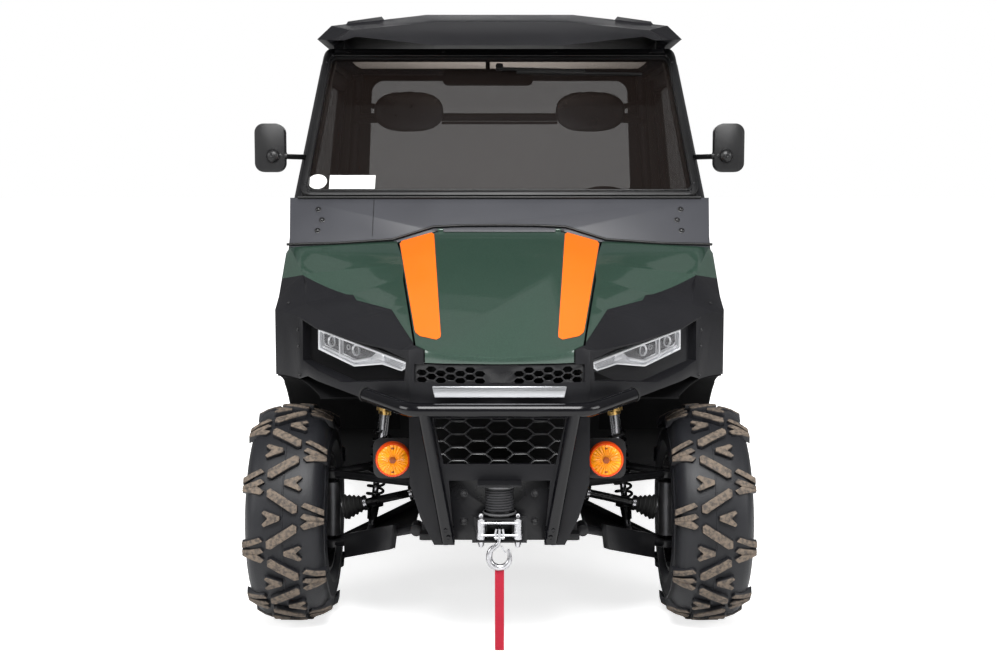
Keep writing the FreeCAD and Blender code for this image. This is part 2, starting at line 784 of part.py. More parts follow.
def make_cage():
    radius, top = size.cage_tube / 2, size.cage_top_z
    low = ON_RAILS + size.sill_high + size.seat_fit
    front = size.pillar_low_y + 8
    run = [(size.pillar_foot_x, front, low), (size.pillar_foot_x, front, size.pillar_bend_z),
           (size.pillar_low_x, size.pillar_low_y, size.pillar_low_z), (size.pillar_top_x, size.pillar_top_y, top),
           (size.post_top_x, size.post_y, top), (size.post_low_x, size.post_y, size.belt_z),
           (size.post_low_x, size.post_y, low)]
    hoop = shaped("hoop_left", tube(run, radius, size.cage_bend))
    bars = []
    for name, y, x in (("front_header", size.pillar_top_y + 5, size.pillar_top_x - 15),
                       ("rear_header", size.post_y - 60, size.post_top_x - 5)):
        bars.append(rod(name, (-x, y, top), (x, y, top), radius - 3))
    head, bar_z = size.post_top_x + 11, size.head_bar_z
    bars.append(rod("head_bar", (-head, size.post_y, bar_z), (head, size.post_y, bar_z), size.head_bar_dia / 2))
    x, y, pin, arm = size.door_hinge_x, size.door_hinge_y, size.door_pin_dia / 2, 12
    arm_front = size.tub_front_y - 4 + size.seat_fit
    ears = []
    for z in DOOR_HINGE_Z:
        ears.append(box("hinge_arm", (size.pillar_foot_x, arm_front, z - arm), (x + pin, y + pin, z - size.seat_fit)))
        ears.append(rod("hinge_pin", (x, y, z - arm), (x, y, z + size.door_barrel_long + 2), pin))
    left = joined("cage_left", [hoop] + ears)
    keep(joined("cab_cage", [left, other("cage_right", left)] + bars))


DASH_LOW_Z = 880
# The dashboard's back and face from its top edge down, each (y, z)
DASH_FACE = [(-530, 1270), (-480, 1296), (-360, 1270), (-290, 1190), (-290, 1080), (-400, 900)]


def make_steering():
    tilt = math.radians(size.steering_tilt)
    axis = Vector(0, math.cos(tilt), math.sin(tilt))
    centre = Vector(size.steering_x, size.steering_y, size.steering_z)
    grip, depth, hub_high, hub_radius = size.steering_grip / 2, 60, 46, 34
    dish, spoke_radius, bore_top = 36, 11, 20
    reach = size.steering_dia / 2 - grip
    ring = doc.addObject("Part::Torus", "steering_ring")
    bind(ring, "Radius1", reach)
    bind(ring, "Radius2", grip)
    ring.Placement = Placement(centre, Rotation(Vector(0, 0, 1), axis))
    place(ring, size.steering_x, size.steering_y, size.steering_z)
    hub = rod("steering_hub", tuple(centre - axis * depth), tuple(centre - axis * (depth - hub_high)), hub_radius)
    side = Vector(1, 0, 0)
    spokes = [rod("spoke", tuple(centre - axis * dish), tuple(centre + way * (reach - 2)), spoke_radius)
              for way in (side, side * -1, side.cross(axis))]
    column = size.column_dia / 2
    bore = rod("steering_bore", tuple(centre - axis * depth), tuple(centre - axis * bore_top),
               column + size.running_fit)
    keep(less("steering_wheel", joined("steering_solid", [ring, hub] + spokes), [bore]))
    front = size.tub_front_y + size.tub_wall + size.seat_fit
    profile = [(front, DASH_LOW_Z), (front, DASH_FACE[0][1])] + DASH_FACE
    end = size.tub_half - 10
    dash = pad("dash_board", "YZ_Plane", -end, end, profile)
    shaft_far, shaft_near, sleeve_far, sleeve_near, sleeve_wall = 330, 30, 270, 70, 18
    shaft = rod("column_shaft", tuple(centre - axis * shaft_far), tuple(centre - axis * shaft_near), column)
    sleeve = rod("column_sleeve", tuple(centre - axis * sleeve_far), tuple(centre - axis * sleeve_near),
                 column + sleeve_wall)
    keep(joined("dashboard", [dash, shaft, sleeve]))


def make_seats():
    base = size.seat_box_top + size.seat_fit
    back = base + size.seat_thick + size.seat_fit
    half, head = size.seat_wide / 2, size.headrest_wide / 2
    narrow = half - 12
    front, rear = size.seat_front_y, size.seat_rear_y
    foot, top_rear = size.seat_back_foot, size.seat_back_rear
    leaning = [(rear - foot, back), (rear, back), (top_rear, size.seat_back_top),
               (top_rear - size.seat_back_thick, size.seat_back_top)]
    head_rear = size.post_y - size.head_bar_dia / 2 - size.seat_fit
    low, high = size.headrest_low_z, size.headrest_low_z + size.headrest_high
    seats = []
    for side, x in (("left", size.seat_x), ("right", -size.seat_x)):
        seats.append(box("seat_base_" + side, (x - half, front, base), (x + half, rear, base + size.seat_thick)))
        seats.append(pad("seat_back_" + side, "YZ_Plane", x - narrow, x + narrow, leaning))
        oval = [(x - head, low), (x + head, low), (x + head, high), (x - head, high)]
        seats.append(pad("headrest_" + side, "XZ_Plane", head_rear - size.headrest_thick, head_rear, oval,
                         size.headrest_corner))
    keep(together("seats", seats))


# Glass, roof and doors

SCREEN_RISE = Vector(0, size.screen_top_y - size.screen_low_y, size.screen_top_z - size.screen_low_z)


def on_screen(item):
    """Lay a piece drawn flat on the windscreen's slope, with its outer face at the slope."""
    item.Placement = Placement(Vector(), Rotation(Vector(0, 1, 0), SCREEN_RISE))
    return place(item, 0, size.screen_low_y, size.screen_low_z)


def screen_outline(inset):
    low, top, high = size.screen_low_x - inset, size.screen_top_x - inset, SCREEN_RISE.Length - inset
    return [(-low, inset), (low, inset), (top, high), (-top, high)]


def make_glass():
    rim, thick, glass, fit = size.screen_rim, size.screen_thick, size.glass_thick, size.seat_fit
    recess, corner = 9, 40
    ring = less("screen_ring", pad("screen_outside", "XY_Plane", -thick, 0, screen_outline(0), corner),
                [pad("screen_hole", "XY_Plane", -2 * thick, thick, screen_outline(rim), corner - 16)])
    keep(on_screen(ring))
    ring.Label = "screen_frame"
    screen = on_screen(pad("windscreen", "XY_Plane", -recess - glass, -recess, screen_outline(rim + fit), corner - 16))
    panel_y = size.post_y + size.cage_tube / 2 + size.seat_fit
    low, high, low_half, high_half = 1290, 1760, 540, 520
    window = [(-low_half, low), (low_half, low), (high_half, high), (-high_half, high)]
    hole = [(u + math.copysign(fit, u), v + math.copysign(fit, v - (low + high) / 2)) for u, v in window]
    pane_y, window_corner = panel_y + 21, 50
    rear = pad("rear_window", "XZ_Plane", pane_y, pane_y + glass, window, window_corner)
    keep(together("cab_glass", [screen, rear]))
    sheet_low, shoulder, sheet_top, half, top_half = 790, 1200, 1785, size.post_low_x, 590
    sheet_left = [(half, sheet_low), (half, shoulder), (top_half, sheet_top)]
    outline = sheet_left + [(-u, v) for u, v in reversed(sheet_left)]
    rear_y = panel_y + size.rear_panel_thick
    wall = pad("rear_wall", "XZ_Plane", panel_y, rear_y, outline)
    rear_hole = pad("rear_hole", "XZ_Plane", panel_y - thick, rear_y + thick, hole, window_corner)
    keep(less("rear_panel", wall, [rear_hole]))
    make_wiper(SCREEN_RISE.Length - rim - 30, fit - recess)


def make_wiper(top, on_glass):
    """Pivot, arm and blade at rest along the top of the screen."""
    half, arm, lift = 13, 300, 5
    start, end, fall, strip = 60, 500, 10, 8
    pivot = [(-half, top - 2 * half), (half, top - 2 * half), (half, top), (-half, top)]
    lever = [(0, top - 18), (arm, top - 18 - fall), (arm, top - 18 - 2 * fall), (0, top - 18 - fall)]
    blade = [(start, top - 30), (end, top - 30 - fall), (end, top - 30 - fall - strip), (start, top - 30 - strip)]
    keep(joined("wiper", [on_screen(pad("wiper_pivot", "XY_Plane", on_glass, lift + 1, pivot, 10)),
                          on_screen(pad("wiper_arm", "XY_Plane", -1, lift, lever)),
                          on_screen(pad("wiper_blade", "XY_Plane", on_glass, 0, blade))]))


# Each station is its y, how far its edge is drawn in, the edge's height, the crown above it and the
# depth of the sheet there, which is deepest in the visor's lip
ROOF_STATIONS = ((-395, 76, 1822, 62, 78), (-370, 56, 1826, 68, 34), (-300, 2, 1836, 84, 34),
                 (200, 0, 1838, 88, 34), (640, 36, 1830, 70, 34))
ROOF_RIB = (395, 540)
ROOF_FOOT_X = 570
ROOF_FOOT_Y = (-60, 420)
# Shares of the half width and of the crown where the flat top and the shoulder end
ROOF_FLAT = 0.4
ROOF_SHOULDER = 0.55
ROOF_CHAMFER = 50


def roof_facet(edge, crown, half, x):
    """Height of the slanted side facet of the roof at a distance from the middle."""
    inner, outer = half * ROOF_FLAT, half - ROOF_CHAMFER
    return edge + crown * (1 - (1 - ROOF_SHOULDER) * (x - inner) / (outer - inner))


def make_roof():
    sections, ribs = [], []
    under, lip, sunk, slant = 70, 30, 8, 14
    lift = size.roof_edge_z - max(edge for _, _, edge, _, _ in ROOF_STATIONS)
    for y, inset, edge, crown, deep in ROOF_STATIONS:
        half = size.roof_half - inset
        edge = edge + lift
        flat, top = half * ROOF_FLAT, edge + crown
        left = [(flat, top - deep), (half - under, edge + crown * 0.2), (half - lip, edge), (half, edge),
                (half - ROOF_CHAMFER, edge + crown * ROOF_SHOULDER), (flat, top)]
        sections.append([(u, y, z) for u, z in left] + [(-u, y, z) for u, z in reversed(left)])
        if inset < ROOF_CHAMFER:
            low, high = ROOF_RIB
            low_z, high_z = roof_facet(edge, crown, half, low), roof_facet(edge, crown, half, high)
            ribs.append([(low, y, low_z - sunk), (low + slant, y, low_z + size.roof_rib),
                         (high - slant, y, high_z + size.roof_rib), (high, y, high_z - sunk)])
    rib = shaped("roof_rib_left", loft(ribs))
    seat, foot = size.cage_top_z + size.cage_tube / 2 + size.seat_fit, 30
    feet = [box("roof_foot", (ROOF_FOOT_X, y - foot, seat), (ROOF_FOOT_X + foot, y + foot, size.roof_edge_z + 28))
            for y in ROOF_FOOT_Y]
    left = joined("roof_left", [rib] + feet)
    keep(joined("roof", [shaped("roof_skin", loft(sections)), left, other("roof_right", left)]))


def door_section(inset, thick):
    """Cross-section of the left side of the cab, sill to roof, as a strip of one thickness."""
    margin = 40
    outer = [(size.door_sill_x - inset, size.door_low_z - margin), (size.door_belt_x - inset, size.belt_z - 60),
             (size.door_top_x - inset, size.door_top_z + margin)]
    return outer + [(u - thick, v) for u, v in reversed(outer)]


def make_doors():
    front, rear, low, top = size.door_front_y, size.door_rear_y, size.door_low_z, size.door_top_z
    bend, corner, margin = size.door_bend_z, size.door_corner, size.window_margin
    slope = (size.pillar_top_y - size.pillar_low_y) / (size.cage_top_z - size.pillar_low_z)
    top_front = front + slope * (top - bend)
    leaf = [(front, low), (rear - corner, low), (rear, low + corner), (rear, top), (top_front, top), (front, bend)]
    sill = size.belt_z + 50
    window = [(front + margin, sill), (rear - margin, sill), (rear - margin, top - margin),
              (top_front + margin * 0.75, top - margin), (front + margin, bend + 12)]
    near, far, long, radius = 500, 800, 700, 14
    skin = common("door_skin", pad("door_outline", "YZ_Plane", near, far, leaf),
                  pad("door_curve", "XZ_Plane", -long, long, door_section(0, size.door_wall)))
    x, y, barrel = size.door_hinge_x, size.door_hinge_y, size.door_barrel_dia / 2
    knuckles, bores = [], []
    for z in DOOR_HINGE_Z:
        end = z + size.door_barrel_long
        knuckles += [rod("barrel", (x, y, z), (x, y, end), barrel),
                     box("barrel_leaf", (x - 18, y, z), (x + 6, y + 16, end))]
        bores.append(rod("barrel_bore", (x, y, z - 5), (x, y, end + 10), size.door_pin_dia / 2 + size.running_fit))
    pull = box("pull", (size.door_belt_x - 20, rear - 70, sill - 95), (size.door_belt_x + 8, rear - 25, sill - 65))
    opening = pad("door_opening", "YZ_Plane", near, far, window, radius)
    solid = joined("door_solid", [less("door_frame", skin, [opening]), pull] + knuckles)
    left = keep(less("door_left", solid, bores))
    keep(other("door_right", left))
    pane = keep(common("door_glass_left", pad("pane_outline", "YZ_Plane", near, far, window, radius),
                       pad("pane_curve", "XZ_Plane", -long, long, door_section(10, size.glass_thick))))
    keep(other("door_glass_right", pane))


# Front body: one master skin, split into hood lid, green fenders and black cladding

# A crease runs straight from its rear point to its front point, each (x, y, z)
RAISED = (209, -674, 1184), (153, -1465, 871)
SEAM = (332, -697, 1149), (229, -1430, 889)
# The shoulder line and the skirt line outside it, from the cowl to the nose
SHOULDER = ((700, -640, 1150), (678, -709, 1130), (612, -880, 1052), (585, -1000, 968), (470, -1180, 930),
            (285, -1420, 866), (262, -1520, 830))
SKIRT_Z = (1080, 1060, 920, 905, 820, 700, 660)
SKIRT_X = 760
PLAN = [(158, -1472), (246, -1440), (392, -1312), (532, -1168), (606, -1050), (688, -960), (688, -640)]
NOSE_Y = -1490
SKY = 1400
COWL_SLOPE = 121 / 185
COWL_FOOT_Y = -716
COWL_FOOT_Z = 1120
GREEN_EDGE = [(311, -600), (720, -600), (720, -790), (604, -890), (440, -1020), (428, -1060), (313, -1180),
              (233, -1420), (200, -1420)]
GREEN_SIDE_Z = 1005
BAND_LOW = [(606, 745), (569, 762), (371, 723)]
# The lamp's plane runs back from the nose at about 45 degrees in plan
LAMP_NEAR = (237, -1400)
LAMP_FAR = (531, -1110)
LAMP = [(531, 904), (531, 842), (413, 805), (325, 822), (266, 810), (237, 834)]
POCKET = [(574, 935), (574, 806), (420, 762), (330, 776), (236, 790), (230, 850), (300, 875), (407, 900)]
LAMP_OUT = Vector(LAMP_FAR[0] - LAMP_NEAR[0], LAMP_NEAR[1] - LAMP_FAR[1], 0).normalize()


def on_crease(crease, y):
    """Point (x, z) where a straight crease crosses a plane of constant y."""
    rear, front = crease
    share = (y - rear[1]) / (front[1] - rear[1])
    return rear[0] + share * (front[0] - rear[0]), rear[2] + share * (front[2] - rear[2])


def mirrored_outline(left):
    return list(left) + [(-u, v) for u, v in reversed(left)]


def crown(drop):
    """The space under the body's upper surface, as flat sections from the cowl to the nose."""
    floor = size.frame_low_z
    sections = []
    for (x, y, z), skirt_z in zip(SHOULDER, SKIRT_Z):
        left = [on_crease(RAISED, y), on_crease(SEAM, y), (x, z), (SKIRT_X, skirt_z)]
        left = [(u, v - drop) for u, v in left] + [(SKIRT_X, floor)]
        sections.append([(u, y, v) for u, v in mirrored_outline(left)])
    return loft(sections)


def plan(inset):
    """The body's outline seen from above, drawn in and extruded upwards."""
    outline = wire([(u, v, 0) for u, v in [(0, NOSE_Y)] + mirrored_outline(PLAN)])
    if inset:
        outline = Part.Wire(outline.Edges).makeOffset2D(-inset, 2)
    return slab(outline, (0, 0, SKY))


def zone(points, low):
    """Everything above a height, inside an outline seen from above."""
    return slab(wire([(u, v, low) for u, v in points]), (0, 0, SKY - low))


def behind_cowl(shift):
    """Everything behind the cowl panel's slope."""
    foot = COWL_FOOT_Y - COWL_FOOT_Z * COWL_SLOPE + shift
    tall = 2000
    outline = [(foot, 0), (foot + tall * COWL_SLOPE, tall), (tall, tall), (tall, 0)]
    return slab(wire([(-900, u, v) for u, v in outline]), (1800, 0, 0))


def lamp_prism(outline, grow, back, front):
    """A lamp outline, drawn out or in, as a layer square to the lamp's plane."""
    slope = (LAMP_FAR[1] - LAMP_NEAR[1]) / (LAMP_FAR[0] - LAMP_NEAR[0])
    points = [(u, LAMP_NEAR[1] + (u - LAMP_NEAR[0]) * slope, v) for u, v in outline]
    edge = Part.Wire(wire(points).Edges).makeOffset2D(grow, 2) if grow else wire(points)
    shape = Part.Face(edge).extrude(LAMP_OUT * (front - back))
    shape.translate(LAMP_OUT * back)
    return shape


def largest(shape):
    return max(shape.Solids, key=lambda solid: solid.Volume)


def lamp_pocket():
    """The recess under the brow: its rim walls, and a back wall with the lamp's hole."""
    wall, deep, out = size.pocket_wall, -14, 90
    rim = lamp_prism(POCKET, wall, deep, out).cut(lamp_prism(POCKET, 0, deep, out)).common(plan(wall / 2))
    rim = largest(rim.common(crown(wall / 2)))
    back = lamp_prism(POCKET, 1, deep, deep + wall).cut(lamp_prism(LAMP, 0, -60, 60))
    return rim.fuse(back)


def make_hood(shell):
    front, rear, low = size.lid_seam_front, size.lid_seam_rear, size.lid_low_z
    lid = [(rear + 3, -640), (front, -1428), (203, -1449), (197, -1520)]
    hood = shell.common(zone(mirrored_outline(lid), low)).cut(behind_cowl(-14))
    y, z, pin, barrel = size.hood_hinge_y, size.hood_hinge_z, size.hood_pin_dia / 2, size.hood_pin_dia / 2 + 2
    near, wide, back = 182, 18, 36
    for x in (near, -near - wide):
        leaf = slab(wire([(x, y - back, z - 22), (x, y - back, z - 19), (x, y, z - 3), (x, y, z - 8)]), (wide, 0, 0))
        hood = hood.fuse([bar((x, y, z), (x + wide, y, z), barrel), leaf])
    bores = [bar((x - 10, y, z), (x + wide + 10, y, z), pin + size.running_fit) for x in (near, -near - wide)]
    keep(shaped("hood_lid", hood.cut(bores)))


def make_front_body():
    skin, gap, low, fit = size.skin, size.panel_gap, size.lid_low_z, size.seat_fit
    inside = crown(skin).common(plan(skin))
    flank = PLAN[-1][0] - skin
    inside = inside.fuse(block((-flank, -800, 0), (flank, -600, 2000)).common(crown(skin)))
    shell = crown(0).common(plan(0)).cut(inside)
    make_hood(shell)
    hole = [(size.lid_seam_rear + gap + 9, -600), (size.lid_seam_front + gap, -1426), (160, -1500)]
    outer = shell.cut(zone(mirrored_outline(hole), low - gap))
    green = zone(GREEN_EDGE, low + 2).cut(block((560, -2000, 0), (900, 0, GREEN_SIDE_Z)))
    left = max(outer.common(green).cut(behind_cowl(-0.5)).Solids, key=lambda solid: solid.CenterOfMass.x)
    keep(shaped("front_fenders", both(left)))
    apart = size.seat_fit + 0.1
    around = zone([(u + apart, v) for u, v in GREEN_EDGE], low + 2)
    around = around.cut(block((560, -2000, 0), (900, 0, GREEN_SIDE_Z - apart)))
    black = outer.cut([around, flip(around)]).cut(behind_cowl(76))
    edge = [(800, 0), (800, BAND_LOW[0][1])] + BAND_LOW
    black = black.cut(slab(wire([(u, -2000, v) for u, v in mirrored_outline(edge)]), (0, 1400, 0)))
    radius = size.tyre_dia / 2 + size.arch_room
    arch = bar((300, size.front_axle_y, AXLE_Z), (900, size.front_axle_y, AXLE_Z), radius + size.seat_fit)
    opening = lamp_prism(POCKET, 0, -60, 160).common(crown(skin))
    mouth = block((-232, -1600, 790), (232, -1380, low - gap + 1))
    black = black.cut([opening, flip(opening), arch, flip(arch), mouth])
    tub = size.tub_front_y - 4
    quarter = [(-800, GREEN_SIDE_Z - 4), (-640, GREEN_SIDE_Z - 4), (-640, 1146), (-600, 1155), (-600, 1130), (tub, 1140),
               (tub, 430), (-800, 430)]
    flank_panel = slab(wire([(flank, u, v) for u, v in quarter]), (skin, 0, 0)).cut(arch)
    pocket = lamp_pocket()
    black = black.fuse([flank_panel, flip(flank_panel), pocket, flip(pocket)])
    keep(shaped("front_cladding", black))
    start, end = (330, size.front_axle_y, AXLE_Z), (flank - size.seat_fit, size.front_axle_y, AXLE_Z)
    liner = bar(start, end, radius).cut(bar((300, *start[1:]), (700, *start[1:]), radius - size.liner_skin))
    liner = liner.cut([block((0, -2000, -900), (800, -1180, 2000)), block((0, -2000, -900), (800, -500, 520))])
    inner_line = [(u - skin - fit, v) for u, v in PLAN[3:6]]
    far, front = 900, PLAN[2][1]
    liner = liner.cut(zone(inner_line + [(far, PLAN[5][1]), (far, front), (PLAN[3][0] - 32, front)], 0))
    keep(shaped("inner_fenders", both(liner)))


def make_head_lamps():
    """Housing behind a clear face, with a raised rim and a divider between its two chambers."""
    fit, lip, deep = -size.seat_fit, size.lamp_rim, -size.lamp_deep
    housing = lamp_prism(LAMP, fit, deep, -8)
    rim = lamp_prism(LAMP, fit, deep, 8).cut(lamp_prism(LAMP, fit - lip, -8, 8))
    wide, middle = 5, 463
    divider = lamp_prism([(middle, 800), (middle + wide, 800), (middle + wide, 920), (middle, 920)], 0, -9, 2)
    keep(shaped("head_lamps", both(housing.fuse([rim, divider.common(lamp_prism(LAMP, fit, -9, 8))]))))


def hexagon(x, z, wide, high, y, push):
    corners = [(-wide / 2, 0), (-wide / 4, high / 2), (wide / 4, high / 2), (wide / 2, 0), (wide / 4, -high / 2),
               (-wide / 4, -high / 2)]
    return slab(wire([(x + u, y, z + v) for u, v in corners]), (0, push, 0))


def comb(middle_z, columns, rows, wide, high, web, clear, half_low, half_high):
    """Hexagonal holes in staggered columns, kept clear of the middle and of the slanted sides."""
    holes = []
    for column in range(-columns, columns + 1):
        for row in range(rows):
            x = column * (wide * 0.75 + web)
            z = middle_z + (row - (rows - 1) / 2 + (0.25 if column % 2 else -0.25)) * (high + web)
            share = (z - middle_z) / (rows * (high + web)) + 0.5
            if clear < abs(x) < half_low + share * (half_high - half_low) - wide / 2 - web:
                holes.append(hexagon(x, z, wide, high, -1600, 300))
    return holes


FASCIA = [(180, 338), (218, 415), (247, 512), (247, 722)]
GRILLE_EDGE = [(153, 563), (182, 690)]
RECESS_EDGE = [(123, 330), (139, 518)]
BAR_EDGE = [(175, 754), (181, 785)]


def make_fascia():
    front, thick, back = size.fascia_y, 22, size.front_axle_y - size.front_bay - size.seat_fit
    through = 50
    plate = pad("fascia_plate", "XZ_Plane", front, front + thick, mirrored_outline(FASCIA))
    taken = [pad("grille_hole", "XZ_Plane", front - through, front + through, mirrored_outline(GRILLE_EDGE)),
             pad("winch_hole", "XZ_Plane", front - through, front + through, mirrored_outline(RECESS_EDGE))]
    half, low, high = 12, 400, 470
    bracket = box("fascia_bracket", (size.rail_x - half, front + thick - 2, low), (size.rail_x + half, back, high))
    keep(joined("front_fascia", [less("fascia_open", plate, taken), bracket, other("fascia_bracket_right", bracket)]))
    fit, skin, deep = size.seat_fit, size.skin, size.grille_thick
    lower = slab(wire([(u - math.copysign(fit, u), front + 6, v - math.copysign(fit, v - 600))
                       for u, v in mirrored_outline(GRILLE_EDGE)]), (0, deep + 2, 0))
    lower = lower.cut(comb(626, 4, 3, 58, 32, 7, -1, 153, 182))
    band = block((-240, -1600, 784), (240, -1300, size.lid_low_z - 4))
    upper = plan(skin + fit).cut(plan(skin + fit + deep)).common(band)
    upper = upper.cut(comb(811, 8, 2, 30, 16, 4, 34, 236, 236))
    keep(shaped("grilles", Part.makeCompound([lower, upper])))
    bar_plate = slab(wire([(u, -1500, v) for u, v in mirrored_outline(BAR_EDGE)]), (0, 12, 0))
    keep(shaped("badge_bar", bar_plate.cut(plan(0))))
    core = size.rail_x - size.upper_rail_wide / 2 - fit
    keep(box("radiator", (-core, back - fit, 525), (core, back + 35, size.upper_rail_z)))


def make_front_guard():
    y, radius, post, fit = size.guard_y, size.guard_tube / 2, size.guard_post / 2, size.seat_fit
    high, foot_z, foot_y, foot_x, plate = 722, 352, -1484, 139, 14
    side = [(241, y, high), (372, y + 140, high + 22)]
    run = [(-u, v, w) for u, v, w in reversed(side)] + side
    rail = shaped("guard_rail", tube(run, radius, 60))
    left = joined("guard_left", [rod("guard_post", (203, y, high), (foot_x, foot_y, foot_z), post),
                                 box("guard_foot", (foot_x - plate, foot_y, foot_z),
                                     (foot_x + plate, size.fascia_y - fit, foot_z + size.guard_tube))])
    keep(joined("bull_bar", [rail, left, other("guard_right", left)]))
    spool_y, low, top, flange = -1462, 428, 512, 8
    base = ON_RAILS
    rear, plate_half = spool_y + 33, 150
    keep(joined("winch", [rod("drum", (0, spool_y, low), (0, spool_y, top), size.spool_dia / 2),
                          rod("low_flange", (0, spool_y, low), (0, spool_y, low + flange), size.flange_dia / 2),
                          rod("top_flange", (0, spool_y, top - flange), (0, spool_y, top), size.flange_dia / 2),
                          box("winch_foot", (-60, rear - 38.7, base), (60, -1340, base + 7.7)),
                          box("winch_back", (-plate_half, rear, base), (plate_half, rear + 6, top + 12)),
                          box("winch_roof", (-60, rear - 76, top), (60, rear + 6, top + 6))]))
    make_fairlead()
    line_z = make_hook(rear - fit)
    strap, thin, hook_y = size.strap_wide / 2, 2, size.hook_y
    keep(box("hook_strap", (-strap, hook_y - thin, size.strap_low_z), (strap, hook_y + thin, line_z - fit)))
    x, z, lamp_y, lens, arm = size.turn_lamp_x, size.turn_lamp_z, size.turn_lamp_y, 45, 10
    inside = size.rail_x + size.upper_rail_wide / 2 + fit
    arm_y = lamp_y + lens - 15
    lamp = joined("turn_lamp_left", [rod("turn_lens", (x, lamp_y, z), (x, lamp_y + lens, z), size.turn_lamp_dia / 2),
                                     rod("turn_arm", (inside, arm_y, z), (x, arm_y, z), arm)])
    keep(pair("turn_lamps", lamp))


def make_fairlead():
    """Two upright rollers between caps, before a plate with a slot for the rope."""
    roll, y, x, low, high = size.roller_dia / 2, -1486, 50, 362, 424
    rollers = [rod("roller", (side_x, y, low), (side_x, y, high), roll) for side_x in (-x, x)]
    half, slot_half, slot_low, slot_high, through = 75, 34, 372, 408, 50
    plate = less("fairlead_open", box("fairlead_plate", (-half, y + roll, low - roll), (half, y + 18, high)),
                 [box("fairlead_hole", (-slot_half, y - through, slot_low), (slot_half, y + through, slot_high))])
    cap, cap_half = 5, 64
    caps = [box("fairlead_cap", (-cap_half, y - roll, z), (cap_half, y + roll + 1, z + cap))
            for z in (low - cap, high - cap)]
    keep(joined("fairlead", [plate] + rollers + caps))


def make_hook(line_end):
    """Bent hook on the rope's end, drawn up to the fairlead. Returns the height of its lowest point."""
    y, top, neck, wire_radius, bend, half, line = size.hook_y, 398, 348, 6, 5, 20, 390
    low = 302
    path = [(0, y, top), (0, y, neck), (-half, y, neck - 12), (-half, y, low + 10), (0, y, low), (half, y, low + 10),
            (half, y, low + 28)]
    bow = shaped("hook_bow", tube(path, wire_radius, bend))
    keep(joined("winch_hook", [bow, rod("hook_line", (0, y, line), (0, line_end, line), 4)]))
    return low - wire_radius


def make_cowl():
    low, high = size.cowl_low_z, size.cowl_top_z
    left = [(690, high), (678, low - 8), (336, low + 10), (210, low + 45)]
    points = [(u, COWL_FOOT_Y + (v - COWL_FOOT_Z) * COWL_SLOPE, v) for u, v in mirrored_outline(left)]
    y, z, pin = size.hood_hinge_y, size.hood_hinge_z, size.hood_pin_dia / 2
    ear, wide = 201, 8
    left = joined("cowl_hinge", [box("cowl_ear", (ear, y - 4, z - 4), (ear + wide, y + 14, z + 4)),
                                 rod("cowl_pin", (ear - 16, y, z), (ear + wide, y, z), pin)])
    folded = shaped("cowl_sheet", slab(wire(points), (0, size.cowl_thick, 0)))
    keep(joined("cowl_panel", [folded, left, other("cowl_hinge_right", left)]))


def make_mirrors():
    x, arm_z, y, arm = size.mirror_x, size.mirror_arm_z, size.mirror_y, 9
    wide, low, high, deep, corner = 98, 1372, 1530, 45, 30
    outline = [(x, low), (x + wide, low), (x + wide, high), (x, high)]
    shell = pad("mirror_shell", "XZ_Plane", y - corner, y - corner + deep, outline, corner)
    foot = Vector(size.pillar_low_x, size.pillar_low_y, size.pillar_low_z)
    head = Vector(size.pillar_top_x, size.pillar_top_y, size.cage_top_z)
    share = (arm_z - size.pillar_low_z) / (size.cage_top_z - size.pillar_low_z)
    reach = bar(tuple(foot * (1 - share) + head * share), (x + 46, y, arm_z), arm)
    reach = largest(reach.cut(bar(tuple(foot), tuple(head), size.cage_tube / 2 + size.seat_fit)))
    ball = doc.addObject("Part::Sphere", "mirror_ball")
    bind(ball, "Radius", arm + 6)
    place(ball, x + 26, y + 8, arm_z)
    keep(pair("mirrors", joined("mirror_left", [shell, shaped("mirror_arm", reach), ball])))
    glass_y, middle, half, low, high, deep, corner = size.pillar_top_y + 2, -42, 163, 1690, 1745, 30, 20
    outline = [(middle - half, low), (middle + half, low), (middle + half, high), (middle - half, high)]
    inside = pad("inside_glass", "XZ_Plane", glass_y, glass_y + deep, outline, corner)
    stem_top = size.cage_top_z - size.cage_tube / 2 + 3 - size.seat_fit
    stem_y = size.pillar_top_y + 5
    stem = rod("inside_stem", (middle, stem_y, high - 10), (middle, stem_y, stem_top), 8)
    keep(joined("inside_mirror", [inside, stem]))


# Rear body and load bed

def make_rear_body():
    x, skin, low = size.fender_x, size.fender_skin, UPPER_TOP + size.seat_fit
    front, rear, deck = size.post_y + 35, size.bed_hinge_y - 25, 8
    radius = size.tyre_dia / 2 + size.rear_arch_room
    foot, top, y, room, far = size.door_low_z - 10, low + deck + 20, REAR_AXLE_Y, 60, 600
    outline = [(front, foot), (front, top), (rear, top), (rear, foot)]
    arch = rod("rear_arch", (size.bed_half - 280, y, AXLE_Z), (size.bed_half + 120, y, AXLE_Z), radius)
    side = less("fender_side", pad("fender_sheet", "YZ_Plane", x - skin, x, outline), [arch])
    lip = less("fender_lip", rod("lip_outside", (x - skin, y, AXLE_Z), (x + 14, y, AXLE_Z), radius + 10),
               [rod("lip_inside", (x - room, y, AXLE_Z), (x + room, y, AXLE_Z), radius - 4),
                box("lip_below", (x - room, y - far, -far), (x + room, y + far, foot)),
                box("lip_behind", (x - room, rear, -far), (x + room, rear + far, 2 * far))])
    top = box("fender_deck", (size.rail_x + 40, front + 26, low), (x, rear, low + deck))
    tail = box("fender_tail", (x - 218, rear - 8, 640), (x, rear, low + deck))
    keep(pair("rear_fenders", joined("rear_fender_left", [side, lip, top, tail])))
    lamp = pad("tail_lamp_left", "XZ_Plane", rear + size.seat_fit, rear + 35,
               [(610, 640), (670, 640), (670, low + 4), (610, low + 4)], 12)
    keep(pair("tail_lamps", lamp))


